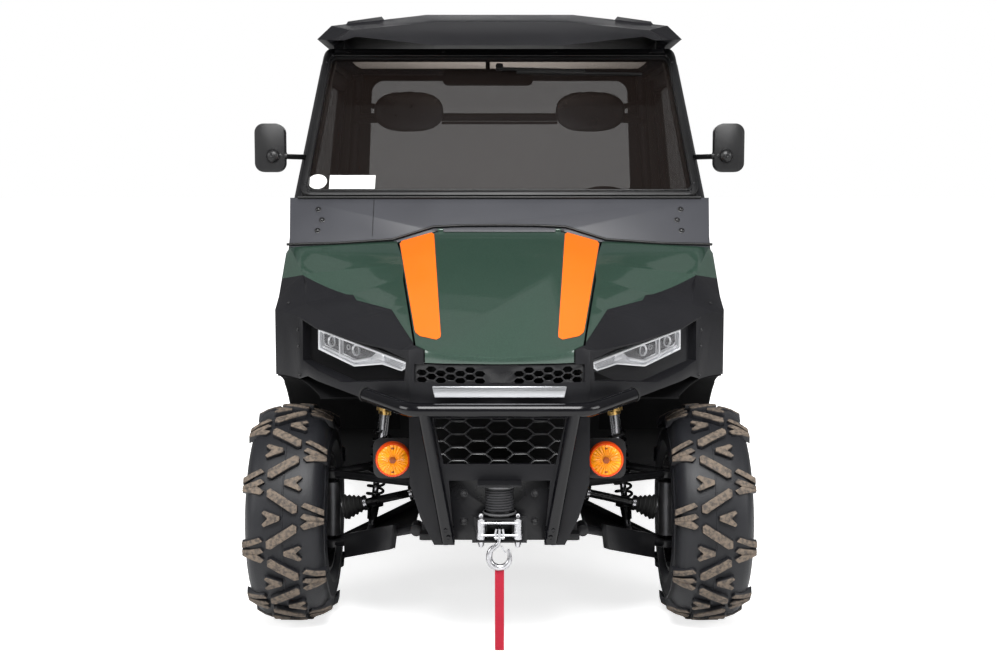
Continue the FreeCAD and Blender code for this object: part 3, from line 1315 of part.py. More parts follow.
def make_bed():
    wall, half, x, beam = size.bed_wall, size.bed_half, size.rail_x, size.upper_rail_wide / 2
    front, rear, low, top = size.bed_front_y, size.bed_rear_y, size.bed_floor_z, size.bed_top_z
    y, z, pin = size.bed_hinge_y, size.bed_hinge_z, size.bed_pin_dia / 2
    tray = less("bed_tray", box("bed_outside", (-half, front, low), (half, rear, top)),
                [box("bed_hollow", (wall - half, front + wall, low + wall), (half - wall, rear + 1, top + 1))])
    left = [box("bed_beam", (x - beam, front + 20, UPPER_TOP + size.seat_fit), (x + beam, y - 12, low + 5)),
            box("bed_lug", (x - beam, y - 12, z - 14), (x + beam, y + 14, low + 5)),
            rod("bed_pin", (x - 15, y, z), (x + 36, y, z), pin)]
    ribs, rib = 5, size.bed_rib
    for step in range(ribs):
        rib_y = front + 40 + step * (rear - front - 110) / (ribs - 1)
        left.append(box("bed_rib", (half - 1, rib_y, low + 12), (half + rib, rib_y + 30, top - 26)))
    left.append(box("bed_edge", (half - 1, front, top - 26), (half + rib, rear, top)))
    left = joined("bed_left", left)
    axis_y, axis_z, gate_pin = rear + size.gate_gap + 7, low - 10, size.gate_pin_dia / 2
    ear, knuckle, gap = 12, 27, 1
    hinges, barrels = [], []
    for hinge_x in (-553, -53, 500):
        hinges += [box("gate_ear", (hinge_x, rear - 60, low - 20), (hinge_x + ear, axis_y + 8, low - 2)),
                   box("gate_ear_root", (hinge_x, rear - 60, low - 20), (hinge_x + ear, rear, low + 5)),
                   rod("gate_pin", (hinge_x + 6, axis_y, axis_z), (hinge_x + ear + 32, axis_y, axis_z), gate_pin)]
        start = hinge_x + ear + gap
        end, leaf_y = start + knuckle, rear + size.gate_gap
        barrels += [rod("gate_barrel", (start, axis_y, axis_z), (end, axis_y, axis_z), gate_pin + 4),
                    box("gate_leaf", (start, leaf_y, axis_z), (end, leaf_y + 14, low + 3))]
    keep(joined("cargo_bed", [tray, left, other("bed_right", left)] + hinges))
    gate = box("gate_sheet", (-half, rear + size.gate_gap, low + 3), (half, rear + size.gate_gap + wall, top))
    face, wide, margin = rear + size.gate_gap + wall, 360, 60
    presses = [box("gate_press", (side, face - 1, low + margin), (side + wide, face + 5, top - margin))
               for side in (-570, -180, 210)]
    bore = rod("gate_bore", (-half, axis_y, axis_z), (half, axis_y, axis_z), gate_pin + size.running_fit)
    keep(less("tailgate", joined("gate_solid", [gate] + presses + barrels), [bore]))


make_frame()
make_wheels()
make_knuckles()
make_suspension()
make_drive_line()
make_tub()
make_cage()
make_steering()
make_seats()
make_glass()
make_roof()
make_doors()
make_front_body()
make_head_lamps()
make_fascia()
make_front_guard()
make_cowl()
make_mirrors()
make_rear_body()
make_bed()

doc.recompute()
for item in doc.Objects:
    if "Invalid" in item.State or "Error" in item.State:
        raise RuntimeError("%s did not build: %s" % (item.Label, item.State))
for item in nodes:
    if item.Shape.isNull() or not item.Shape.isValid():
        raise RuntimeError("%s has no valid shape" % item.Label)
os.makedirs("parts", exist_ok=True)
for item in nodes:
    item.Shape.exportStep("parts/%s.step" % item.Label)
print("%d pieces written" % len(nodes))
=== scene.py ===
import math

import bpy
from mathutils import Matrix, Vector


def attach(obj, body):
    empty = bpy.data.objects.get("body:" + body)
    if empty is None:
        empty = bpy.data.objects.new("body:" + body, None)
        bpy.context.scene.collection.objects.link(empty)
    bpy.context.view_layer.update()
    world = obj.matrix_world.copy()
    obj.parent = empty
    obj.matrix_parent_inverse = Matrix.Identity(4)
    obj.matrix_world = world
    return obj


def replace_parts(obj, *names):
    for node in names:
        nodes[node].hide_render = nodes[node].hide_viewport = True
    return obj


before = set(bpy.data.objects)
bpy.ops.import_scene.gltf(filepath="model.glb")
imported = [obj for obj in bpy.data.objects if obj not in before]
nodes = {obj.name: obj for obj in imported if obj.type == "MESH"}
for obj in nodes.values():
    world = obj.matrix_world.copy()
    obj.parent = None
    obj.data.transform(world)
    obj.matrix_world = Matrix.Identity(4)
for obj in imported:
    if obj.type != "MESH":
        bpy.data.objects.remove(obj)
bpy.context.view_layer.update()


# Chassis frame: square steel tube, welded, then powder coated black. The coat is slightly
# grainy, and its colour and gloss vary faintly from place to place.

def add(tree, kind, **inputs):
    """A shader node with some of its inputs set."""
    made = tree.nodes.new(kind)
    for name, value in inputs.items():
        made.inputs[name.replace("_", " ")].default_value = value
    return made


def finish_of(name, colour, rough, metal=0.0, level=0.5):
    """A new material, its node tree and its shader."""
    made = bpy.data.materials.new(name)
    made.use_nodes = True
    shader = made.node_tree.nodes["Principled BSDF"]
    shader.inputs["Base Color"].default_value = (*colour, 1)
    shader.inputs["Roughness"].default_value = rough
    shader.inputs["Metallic"].default_value = metal
    shader.inputs["Specular IOR Level"].default_value = level
    return made, made.node_tree, shader


def placed(tree, node):
    """A node fed with the piece's own coordinates."""
    where = add(tree, "ShaderNodeTexCoord")
    tree.links.new(where.outputs["Object"], node.inputs["Vector"])
    return node


def pattern(tree, grain, detail=3.0):
    """Noise of one grain size in metres."""
    noise = add(tree, "ShaderNodeTexNoise", Scale=1 / grain, Detail=detail)
    return placed(tree, noise).outputs["Fac"]


def combined(tree, operation, first, last):
    """Two values put through a math operation."""
    made = add(tree, "ShaderNodeMath")
    made.operation = operation
    tree.links.new(first, made.inputs[0])
    tree.links.new(last, made.inputs[1])
    return made.outputs["Value"]


def mixed(tree, share, first, last):
    """A colour between two others, by a share from 0 to 1."""
    mix = tree.nodes.new("ShaderNodeMix")
    mix.data_type = "RGBA"
    mix.inputs["A"].default_value = (*first, 1)
    mix.inputs["B"].default_value = (*last, 1)
    tree.links.new(share, mix.inputs["Factor"])
    return mix.outputs["Result"]


def drive(shader, name, value):
    """Let a value of the node tree drive one of a shader's inputs."""
    shader.id_data.links.new(value, shader.inputs[name])


def spread(tree, value, low, high, start=0.3, end=0.7):
    """A value carried from one range to another."""
    made = add(tree, "ShaderNodeMapRange", From_Min=start, From_Max=end, To_Min=low, To_Max=high)
    tree.links.new(value, made.inputs["Value"])
    return made.outputs["Result"]


def raised(tree, shader, height, depth):
    """Relief of a real depth in metres."""
    bump = add(tree, "ShaderNodeBump", Strength=1.0, Distance=depth)
    tree.links.new(height, bump.inputs["Height"])
    drive(shader, "Normal", bump.outputs["Normal"])


def coated(name, colour, rough, metal=0.0, level=0.5, grain=0.0016, depth=0.00012, patch=0.25,
           shade=0.18):
    """A finish with fine grain, whose colour and gloss vary a little from place to place."""
    made, tree, shader = finish_of(name, colour, rough, metal, level)
    wide = pattern(tree, patch, 5.0)
    share = spread(tree, wide, 0, 1)
    darker = [part * (1 - shade) for part in colour]
    lighter = [part * (1 + shade) for part in colour]
    drive(shader, "Base Color", mixed(tree, share, darker, lighter))
    drive(shader, "Roughness", spread(tree, wide, rough - 0.05, rough + 0.06))
    raised(tree, shader, pattern(tree, grain), depth)
    return made


def painted(mesh, material):
    """Give a mesh its only finish."""
    mesh.materials.clear()
    mesh.materials.append(material)


def dress(material, *names):
    """Give CAD nodes their finish."""
    for name in names:
        painted(nodes[name].data, material)


def clear():
    """Operators act on all that is selected, so nothing is."""
    bpy.ops.object.select_all(action="DESELECT")


def hold(piece):
    """Make one piece the only one selected, and the active one."""
    clear()
    piece.select_set(True)
    bpy.context.view_layer.objects.active = piece


def applied(piece):
    """Put a piece's place, turn and scale into its mesh."""
    hold(piece)
    bpy.ops.object.transform_apply(location=True, rotation=True, scale=True)
    return piece


def editing(piece, every=True):
    """Start editing a piece, with everything or nothing selected."""
    hold(piece)
    bpy.ops.object.mode_set(mode="EDIT")
    bpy.ops.mesh.select_all(action="SELECT" if every else "DESELECT")


def edited():
    """Back to object mode."""
    bpy.ops.object.mode_set(mode="OBJECT")


def fix(piece):
    """Apply every modifier that shaped the piece."""
    hold(piece)
    for modifier in list(piece.modifiers):
        bpy.ops.object.modifier_apply(modifier=modifier.name)
    return piece


def bevelled(piece, width, segments=2, degrees=30):
    """Round the edges of a piece that are sharper than an angle."""
    bevel = piece.modifiers.new("edge", "BEVEL")
    bevel.width, bevel.segments, bevel.limit_method = width, segments, "ANGLE"
    bevel.angle_limit = math.radians(degrees)
    return fix(piece)


def smooth(piece, degrees=35):
    """Shade smooth, but for the edges sharper than an angle."""
    hold(piece)
    bpy.ops.object.shade_smooth_by_angle(angle=math.radians(degrees))
    return piece


def settle(piece, name, body, material):
    """Name and dress a finished piece, and let it ride on its body."""
    applied(piece).name = name
    painted(piece.data, material)
    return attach(piece, body)


def round_creases(piece, width, low, high):
    """In edit mode, round the edges whose faces meet at an angle between two limits."""
    edges, picked = piece.data.edges, []
    for degrees in (low, high):
        edited()
        editing(piece, False)
        bpy.ops.mesh.edges_select_sharp(sharpness=math.radians(degrees))
        edited()
        picked.append({edge.index for edge in edges if edge.select})
    editing(piece, False)
    edited()
    for index in picked[0] - picked[1]:
        edges[index].select = True
    bpy.ops.object.mode_set(mode="EDIT")
    bpy.ops.mesh.bevel(offset=width, segments=3, clamp_overlap=True)


def eased(node, body, material, edge=0.0012, crease=0.0, degrees=32):
    """A merged copy of a CAD node with eased edges and rounded creases, in the node's place."""
    made = bpy.data.objects.new(node, nodes[node].data.copy())
    bpy.context.collection.objects.link(made)
    editing(made)
    bpy.ops.mesh.remove_doubles(threshold=0.00005)
    bpy.ops.mesh.dissolve_limited(angle_limit=math.radians(0.4))
    if crease:
        round_creases(made, crease, 7, 62)
    edited()
    if edge:
        bevelled(made, edge, 2, 35)
    smooth(made, degrees)
    settle(made, node + "_finished", body, material)
    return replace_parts(made, node)


powder_black = coated("powder_coat_black", (0.0085, 0.0085, 0.0095), 0.44, level=0.32)
eased("frame", "root", powder_black)


# Engine and axle cases: cast aluminium, shot blasted, with a dull oxide skin.

cast_alloy = coated("cast_aluminium", (0.10, 0.10, 0.105), 0.55, metal=0.85, grain=0.0022, depth=0.0003,
                    patch=0.12, shade=0.25)
eased("engine_block", "root", cast_alloy, 0.006)
eased("final_drives", "root", cast_alloy, 0.004)


# Wishbones: bent steel tube with welded sleeves and eyes, black powder coat, and a black moulded
# guard under each lower arm.

arm_coat = coated("arm_coat", (0.008, 0.008, 0.009), 0.34, level=0.38, patch=0.12)
eased("suspension_arms", "root", arm_coat, 0.002, 0, 52)


# Knuckles and hubs: forged steel, machined where the bearings sit, grey with a film of oil.

forged = coated("forged_steel", (0.10, 0.10, 0.105), 0.42, metal=0.9, grain=0.0015, depth=0.0001,
                patch=0.08, shade=0.3)
for node, body in (("knuckle_left", "upright_left"), ("knuckle_right", "upright_right"),
                   ("rear_hubs", "root")):
    eased(node, body, forged, 0, 0, 52)


# Dampers: a black coil spring round a bright gas damper, with a gold zinc collar above it. The wire
# is wound cold and coated; the body is a drawn steel tube.

def one(pieces):
    """Join several pieces into the first."""
    clear()
    for piece in pieces:
        piece.select_set(True)
    bpy.context.view_layer.objects.active = pieces[0]
    bpy.ops.object.join()
    return pieces[0]


def copied(piece, matrix):
    """A copy with a mesh of its own, moved by a matrix."""
    made = piece.copy()
    made.data = piece.data.copy()
    bpy.context.collection.objects.link(made)
    made.data.transform(matrix)
    if matrix.determinant() < 0:
        made.data.flip_normals()
    return made


def meshed(name, points, edges=(), faces=()):
    """A new piece made of points, edges and faces."""
    mesh = bpy.data.meshes.new(name)
    mesh.from_pydata([tuple(point) for point in points], edges, faces)
    made = bpy.data.objects.new(name, mesh)
    bpy.context.collection.objects.link(made)
    return made


def faced_out(piece, merge=0.0):
    """Turn every face outward, once what lies closer than a distance is merged."""
    editing(piece)
    if merge:
        bpy.ops.mesh.remove_doubles(threshold=merge)
    bpy.ops.mesh.normals_make_consistent(inside=False)
    edited()
    return piece


def spun(points, axis, steps, merge):
    """A closed surface: a line of points turned once round an axis."""
    made = meshed("line", points, [(n, n + 1) for n in range(len(points) - 1)])
    screw = made.modifiers.new("turn", "SCREW")
    screw.axis = axis
    screw.steps = screw.render_steps = steps
    screw.use_merge_vertices = True
    screw.merge_threshold = merge
    return faced_out(fix(made), merge)


def turned(points, steps=32):
    """An outline of (along, radius) points turned about Z."""
    return smooth(spun([(radius, 0, along) for along, radius in points], "Z", steps, 0.00002))


def coil(radius, wire, pitch, turns, steps=20):
    """A round wire wound about Z from Z = 0."""
    clear()
    bpy.ops.mesh.primitive_circle_add(vertices=10, radius=wire / 2, location=(radius, 0, 0),
                                      rotation=(math.pi / 2, 0, 0))
    made = applied(bpy.context.object)
    screw = made.modifiers.new("wind", "SCREW")
    screw.screw_offset, screw.iterations = pitch, turns
    screw.steps = screw.render_steps = steps
    editing(fix(made))
    bpy.ops.mesh.fill_holes(sides=12)
    edited()
    return smooth(faced_out(made), 60)


def stand(piece, start, end):
    """Carry a piece from Z = 0 to a start point, its Z turned towards an end point."""
    start, end = Vector(start), Vector(end)
    turn = (end - start).to_track_quat("Z", "Y").to_matrix().to_4x4()
    piece.data.transform(Matrix.Translation(start) @ turn)
    return piece


def shift(piece, way):
    """Carry a piece along a vector."""
    piece.data.transform(Matrix.Translation(way))
    return piece


def tube(points, radius, closed=False, radii=None):
    """A round bar swept along points; with radii it is a smooth curve of changing thickness."""
    curve = bpy.data.curves.new("path", "CURVE")
    curve.dimensions = "3D"
    curve.bevel_depth, curve.bevel_resolution, curve.use_fill_caps = radius, 3, True
    line = curve.splines.new("NURBS" if radii else "POLY")
    line.points.add(len(points) - 1)
    for number, point in enumerate(points):
        line.points[number].co = (*point, 1)
        line.points[number].radius = radii[number] if radii else 1
    line.use_cyclic_u = closed
    line.use_endpoint_u, line.order_u, line.resolution_u = True, 4, 6
    made = bpy.data.objects.new("path", curve)
    bpy.context.collection.objects.link(made)
    hold(made)
    bpy.ops.object.convert(target="MESH")
    return smooth(faced_out(bpy.context.object), 50)


def pushed(piece, push, edge):
    """Extrude a flat face along a vector into a solid, and ease its edges."""
    editing(piece)
    bpy.ops.mesh.extrude_region_move(TRANSFORM_OT_translate={"value": tuple(push)})
    edited()
    faced_out(piece)
    return bevelled(piece, edge) if edge else piece


def prism(points, push, edge=0.0):
    """A flat outline pushed along a vector, with its edges eased."""
    outline = meshed("outline", points, (), [list(range(len(points)))])
    return smooth(pushed(outline, push, edge), 30)


mirror = Matrix.Scale(-1, 4, (1, 0, 0))


def both_sides(piece):
    """The piece and its mirror image in one object."""
    return one([piece, copied(piece, mirror)])


front_axle, rear_axle = -1.0, 1.18
spring_black = coated("spring_coat", (0.007, 0.007, 0.008), 0.24, level=0.5, patch=0.05)
gold_zinc = coated("gold_zinc", (0.62, 0.40, 0.14), 0.26, metal=1.0, grain=0.001, depth=0.00004,
                   patch=0.03, shade=0.25)
damper_steel = coated("damper_steel", (0.42, 0.42, 0.44), 0.22, metal=1.0, grain=0.001, depth=0.00003,
                      patch=0.05)
dampers, collars, springs = [], [], []
for axle_y in (front_axle, rear_axle):
    for side in (1, -1):
        top = Vector((side * 0.345, axle_y + 0.048, 0.698))
        foot = Vector((side * 0.400, axle_y + 0.048, 0.2735))
        long = (foot - top).length
        rod = turned([(0, 0), (0, 0.0125), (0.02, 0.0125), (0.02, 0.010), (long, 0.010), (long, 0)])
        cover = turned([(0.075, 0), (0.075, 0.0165), (0.174, 0.0165), (0.176, 0.0145), (0.176, 0)])
        collar = turned([(0.030, 0), (0.030, 0.020), (0.034, 0.0235), (0.052, 0.0235), (0.054, 0.028),
                         (0.064, 0.028), (0.066, 0.021), (0.076, 0.020), (0.076, 0)])
        seat = turned([(long - 0.072, 0), (long - 0.072, 0.030), (long - 0.066, 0.031),
                       (long - 0.060, 0.018), (long - 0.02, 0.015), (long - 0.02, 0)])
        wound = shift(coil(0.0245, 0.0090, (long - 0.208) / 9, 9), (0, 0, 0.128))
        for made, group in ((rod, dampers), (collar, collars), (cover, dampers), (seat, springs),
                            (wound, springs)):
            group.append(stand(made, top, foot))
damper = settle(one(dampers), "damper_bodies", "root", damper_steel)
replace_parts(damper, "shocks")
settle(one(collars), "damper_collars", "root", gold_zinc)
settle(one(springs), "coil_springs", "root", spring_black)


# Half shafts: forged steel bars between rubber boots. Each boot is clamped with a bright steel
# band, and its outer end is ribbed so that it can fold.

shaft_steel = coated("shaft_paint", (0.010, 0.010, 0.011), 0.28, level=0.45, patch=0.06)
boot_rubber = coated("boot_rubber", (0.012, 0.012, 0.012), 0.62, level=0.35, grain=0.001, patch=0.05)
eased("drive_shafts", "root", shaft_steel, 0, 0, 52)
boots, bands = [], []
for axle_y in (front_axle, rear_axle):
    for side in (1, -1):
        start = Vector((side * 0.2079, axle_y, 0.4003))
        end = Vector((side * 0.480, axle_y, 0.340))
        ribbed = [(0.002, 0.0), (0.002, 0.037)]
        for rib in range(4):
            at = 0.006 + rib * 0.0135
            big = 0.039 - rib * 0.004
            ribbed += [(at, big - 0.003), (at + 0.004, big), (at + 0.007, big),
                       (at + 0.011, big - 0.006)]
        ribbed += [(0.064, 0.0215), (0.074, 0.0205), (0.074, 0.0)]
        boots.append(stand(turned(ribbed), end, start))
        band = turned([(0.064, 0.0208), (0.064, 0.0235), (0.073, 0.0235), (0.073, 0.0208),
                       (0.064, 0.0208)])
        bands.append(stand(band, end, start))
        inner = turned([(0.062, 0.0208), (0.062, 0.0225), (0.071, 0.0225), (0.071, 0.0208),
                        (0.062, 0.0208)])
        bands.append(stand(inner, start, end))
settle(one(boots), "shaft_boots", "root", boot_rubber)
settle(one(bands), "boot_bands", "root", damper_steel)


# Tyres: moulded natural rubber on a carcass of plies. Tall lugs stand in cycles of a slanted bar, a
# fork, the opposite bar and the opposite fork, and the shoulders carry chevrons.

# Millimetres: the carcass's radius, the lugs' radius, and how tall a lug is before it is wrapped.
tread, tread_top, tall = 313, 330, 30


def lug(outline, top, half):
    """One lug: an outline of (across, along) millimetres, wrapped round the carcass, walls drafted."""
    made = faced_out(meshed("lug", [(u, v, 0) for u, v in outline], (), [list(range(len(outline)))]))
    pushed(made, (0, 0, tall), 1.7)
    middle = sum((Vector((u, v)) for u, v in outline), Vector((0, 0))) / len(outline)
    worn = made.data.attributes.new("worn", "FLOAT", "POINT")
    for number, point in enumerate(made.data.vertices):
        u, v, h = point.co
        share = h / tall
        worn.data[number].value = share
        u += (u - middle.x) * (0.24 - 0.10 * share)
        v += (v - middle.y) * (0.24 - 0.10 * share)
        fall = (abs(u) / half) ** 3
        radius = (tread - 7 - 30 * fall) * (1 - share) + (top - 24 * fall) * share
        angle = v / tread_top
        point.co = (u, -radius * math.cos(angle), radius * math.sin(angle))
    return made


def tyre(half):
    """A tyre centred on its axle, in millimetres."""
    middle = [(0, tread + 1.2), (1.6, tread + 1.2), (2.6, tread), (half * 0.4, tread - 0.5)]
    wall = [(-34, tread - 5), (-18, tread - 14), (-8, tread - 28), (-3, tread - 46), (-2, 262),
            (0.5, 260), (0.5, 255), (-1.5, 253), (-0.5, 232), (1.5, 224), (1.5, 216), (-2, 212),
            (-8, 200), (-18, 192), (-20, 179), (-31, 178), (-31, 186), (-14, 210), (-12, 236),
            (-20, 272), (-40, tread - 14)]
    right = middle + [(half + u, r) for u, r in wall] + [(0, tread - 11)]
    outline = right + [(-u, r) for u, r in reversed(right[1:-1])] + [right[0]]
    carcass = smooth(spun([(u, 0, r) for u, r in outline], "X", 96, 0.01), 40)
    bar = [[(-0.36, -32), (-0.26, -35), (0.10, -7.7), (0.02, 13.9), (-0.36, -14)],
           [(0.14, -4.7), (0.36, 12), (0.36, 28), (0.28, 33), (0.065, 17)]]
    fork = [(0.08, -5), (0.08, 6), (0.42, 20), (0.47, 14), (0.34, 0), (0.47, -15), (0.42, -21)]
    shoulder = [[(0.52, 34), (0.60, 44), (0.80, 35), (1.0, 26), (1.0, 9), (0.80, 19)],
                [(0.50, 2), (0.58, 12), (0.80, 5), (1.0, -2), (1.0, -11), (0.80, -9), (0.66, -7)],
                [(0.50, -22), (0.66, -9.5), (0.80, -11.5), (1.0, -13.5), (1.0, -20), (0.80, -26),
                 (0.58, -32)]]
    cycles, low_top = 10, 325
    made = []
    for quarter, shapes, flip, top in ((0, bar, 1, tread_top), (1, [fork], 1, tread_top),
                                       (2, bar, -1, tread_top), (3, [fork], -1, tread_top),
                                       (1, shoulder, -1, low_top), (3, shoulder, 1, low_top)):
        for shape in shapes:
            first = lug([(u * half * flip, v) for u, v in shape], top, half)
            made.append(first)
            first.data.transform(Matrix.Rotation(math.radians(quarter * 360 / cycles / 4), 4, "X"))
            for cycle in range(1, cycles):
                turn = Matrix.Rotation(math.radians(cycle * 360 / cycles), 4, "X")
                made.append(copied(first, turn))
    lugs = smooth(one(made), 30)
    return one([carcass, lugs])


def tread_rubber():
    """Dark rubber, with dusty brown on the worn lug tops."""
    made, tree, shader = finish_of("tread_rubber", (0.016, 0.016, 0.018), 0.55, level=0.35)
    top = add(tree, "ShaderNodeAttribute")
    top.attribute_name = "worn"
    worn = spread(tree, top.outputs["Fac"], 0, 1, 0.78, 0.95)
    dust = spread(tree, pattern(tree, 0.010, 6.0), 0.30, 1.0, 0.36, 0.60)
    share = combined(tree, "MULTIPLY", worn, dust)
    clean, dusty = (0.011, 0.0115, 0.014), (0.165, 0.130, 0.100)
    drive(shader, "Base Color", mixed(tree, share, clean, dusty))
    drive(shader, "Roughness", spread(tree, share, 0.46, 0.85, 0, 1))
    raised(tree, shader, pattern(tree, 0.004, 5.0), 0.0006)
    return made


rubber = tread_rubber()
wheel_up = 0.33
wheels = (("front", 114.5, 0.621, front_axle), ("rear", 139.5, 0.615, rear_axle))
for end, half, wheel_x, axle_y in wheels:
    whole = tyre(half)
    whole.data.transform(Matrix.Scale(0.001, 4))
    twin = copied(whole, mirror)
    for made, side, hand in ((whole, -1, "right"), (twin, 1, "left")):
        shift(made, (side * wheel_x, axle_y, wheel_up))
        corner = "%s_%s" % (end, hand)
        settle(made, "tread_" + corner, "wheel_" + corner, rubber)
        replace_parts(made, "tyre_" + corner)


# Rims: pressed steel discs welded into rolled barrels, satin black.

rim_black = coated("rim_paint", (0.012, 0.012, 0.013), 0.28, level=0.45, patch=0.08)
bright_zinc = coated("bright_zinc", (0.55, 0.55, 0.57), 0.28, metal=1.0, grain=0.0008, depth=0.00004,
                     patch=0.02, shade=0.2)
for corner in ("front_left", "front_right", "rear_left", "rear_right"):
    eased("rim_" + corner, "wheel_" + corner, rim_black, 0.0012, 0, 40)


# Wheel nuts and valves: four zinc plated flanged nuts hold each rim on its hub, and a rubber valve
# stands in each disc.

def pick(piece, wanted):
    """In edit mode, select the faces whose centre and normal are wanted."""
    editing(piece, False)
    edited()
    for face in piece.data.polygons:
        face.select = wanted(face.center, face.normal)
    bpy.ops.object.mode_set(mode="EDIT")


def hex_head(radius):
    """A flanged hexagon head with a domed top, standing on Z = 0."""
    clear()
    bpy.ops.mesh.primitive_cylinder_add(vertices=6, radius=radius, depth=radius,
                                        location=(0, 0, radius * 0.6))
    nut = bpy.context.object
    pick(nut, lambda center, normal: normal.z > 0.9)
    bpy.ops.mesh.inset(thickness=radius * 0.18, depth=radius * 0.12)
    bpy.ops.mesh.inset(thickness=radius * 0.18, depth=-radius * 0.10)
    edited()
    applied(nut)
    flange = [(0, 0), (0, 1.30), (0.12, 1.30), (0.22, 1.0), (0.22, 0)]
    return one([nut, turned([(radius * along, radius * far) for along, far in flange], 16)])


stem_line = [(0, 0), (0, 0.0055), (0.012, 0.0045), (0.016, 0.0035), (0.030, 0.0035), (0.030, 0.0045),
             (0.036, 0.004), (0.036, 0)]
nut_ring = 0.050
for end, _, wheel_x, axle_y in wheels:
    for side, hand in ((1, "left"), (-1, "right")):
        fixed = []
        for angle in (math.radians(45 + 90 * turn) for turn in range(4)):
            at = Vector((side * (wheel_x + 0.0475), axle_y + nut_ring * math.cos(angle),
                         wheel_up + nut_ring * math.sin(angle)))
            fixed.append(stand(hex_head(0.0095), at, at + Vector((side, 0, 0))))
        at = Vector((side * (wheel_x + 0.030), axle_y + 0.105, wheel_up))
        stem = stand(turned(stem_line, 16), at, at + Vector((side, 0.25, 0)))
        corner = "%s_%s" % (end, hand)
        settle(stem, "valve_" + corner, "wheel_" + corner, boot_rubber)
        settle(smooth(one(fixed), 30), "wheel_nuts_" + corner, "wheel_" + corner, bright_zinc)


# Cab tub: rotation moulded black polyethylene, with the fine orange peel of its mould.

tub_plastic = coated("tub_plastic", (0.010, 0.010, 0.011), 0.56, level=0.3, grain=0.0012, depth=0.00025)
eased("cab_tub", "root", tub_plastic, 0.003)


# Roll cage: 50 mm steel tube, bent cold and powder coated black, glossier than the frame.

cage_coat = coated("cage_coat", (0.008, 0.008, 0.009), 0.34, level=0.38)
eased("cab_cage", "root", cage_coat, 0, 0, 52)


# Door seals: black rubber strips on the rear posts and under the roof rails, where the doors close.

post_line = [(0.635, 0.75), (0.690, 0.75), (0.694, 0.9), (0.694, 1.1), (0.678, 1.25), (0.662, 1.4),
             (0.646, 1.55), (0.624, 1.76), (0.588, 1.76), (0.603, 1.55), (0.614, 1.4), (0.625, 1.25),
             (0.635, 1.1)]
post_seal = prism([(x, 0.464, z) for x, z in post_line], (0, 0.016, 0), 0.002)
top_line = [(-0.175, 1.752), (0.478, 1.752), (0.478, 1.802), (-0.175, 1.802)]
top_seal = prism([(0.596, y, z) for y, z in top_line], (0.011, 0, 0), 0.002)
settle(both_sides(one([post_seal, top_seal])), "door_seals", "root", boot_rubber)


# Header bolts: domed steel heads that hold the roof to the header of the cage.

def dome(radius):
    """A domed bolt head on a thin washer, standing on Z = 0."""
    r = radius
    return turned([(-0.001, 0), (-0.001, r * 1.25), (r * 0.15, r * 1.25), (r * 0.18, r),
                   (r * 0.5, r * 0.9), (r * 0.75, r * 0.6), (r * 0.85, r * 0.25), (r * 0.86, 0)], 20)


def bolted(node, spots, head, radius, name, material):
    """Bolt heads on the front of a finished piece, at places (across, up) of both sides."""
    bpy.context.view_layer.update()
    target = bpy.data.objects[node + "_finished"]
    heads = []
    for side in (1, -1):
        for across, up in spots:
            hit, at, normal, _ = target.ray_cast(Vector((side * across, -3, up)), Vector((0, 1, 0)))
            if hit:
                heads.append(stand(head(radius), at, at + normal))
    settle(smooth(one(heads), 30), name, "root", material)


bolted("cab_cage", [(0.537, 1.803), (0.20, 1.806)], dome, 0.006, "header_bolts", cage_coat)


# Dashboard: grained black moulding. The wheel has a padded leather rim sewn on the inside.

dash_plastic = coated("dash_plastic", (0.009, 0.009, 0.010), 0.60, level=0.28, grain=0.0009,
                      depth=0.0002)
eased("dashboard", "root", dash_plastic, 0.006)
grip_leather = coated("grip_leather", (0.009, 0.009, 0.009), 0.48, level=0.35, grain=0.0018,
                      depth=0.0003, patch=0.03)
eased("steering_wheel", "steering_wheel", grip_leather, 0, 0, 52)


# Seats: moulded foam under black vinyl. The vinyl is drawn over the foam, sewn in channels and
# swells between its seams. The headrests are oval pads.

seat_vinyl = coated("seat_vinyl", (0.016, 0.016, 0.017), 0.30, level=0.60, grain=0.0022, depth=0.00035,
                    patch=0.06, shade=0.12)


def swell(pad, cap, voxel=0.008):
    """Blow the skin of a pad up with cloth pressure, no further than a cap, and smooth it."""
    pad.data.remesh_voxel_size = voxel
    hold(pad)
    bpy.ops.object.voxel_remesh()
    rest = [point.co.copy() for point in pad.data.vertices]
    cloth = pad.modifiers.new("cloth", "CLOTH")
    cloth.settings.use_pressure = True
    cloth.settings.uniform_pressure_force = 4
    cloth.settings.effector_weights.gravity = 0
    for number in range(1, 21):
        bpy.context.scene.frame_set(number)
    shown = pad.evaluated_get(bpy.context.evaluated_depsgraph_get())
    moved = [point.co.copy() for point in shown.data.vertices]
    pad.modifiers.remove(cloth)
    bpy.context.scene.frame_set(1)
    for point, start, end in zip(pad.data.vertices, rest, moved):
        step = end - start
        if step.length > cap:
            step = step * (cap / step.length)
        point.co = start + step


def channel(pad, axis, at, wide, deep, inwards):
    """Draw a sewn channel into the skin, at one place along an axis."""
    for point in pad.data.vertices:
        away = abs(point.co[axis] - at) / wide
        if away < 1:
            point.co += Vector(inwards) * deep * (1 - away) ** 2


def finer(pad):
    """Subdivide a pad once, and shade it smooth."""
    fine = pad.modifiers.new("fine", "SUBSURF")
    fine.levels = fine.render_levels = 1
    return smooth(fix(pad), 80)


def soft(low, high, bevel, channels, tilt=None):
    """A pad between two corners, rounded, swollen and sewn."""
    low, high = Vector(low), Vector(high)
    clear()
    bpy.ops.mesh.primitive_cube_add(size=1, location=(low + high) / 2)
    pad = bpy.context.object
    pad.scale = high - low
    bevelled(applied(pad), bevel, 5)
    swell(pad, 0.010)
    for axis, at, wide, deep, inwards in channels:
        channel(pad, axis, at, wide, deep, inwards)
    if tilt:
        pad.data.transform(tilt)
    return finer(pad)


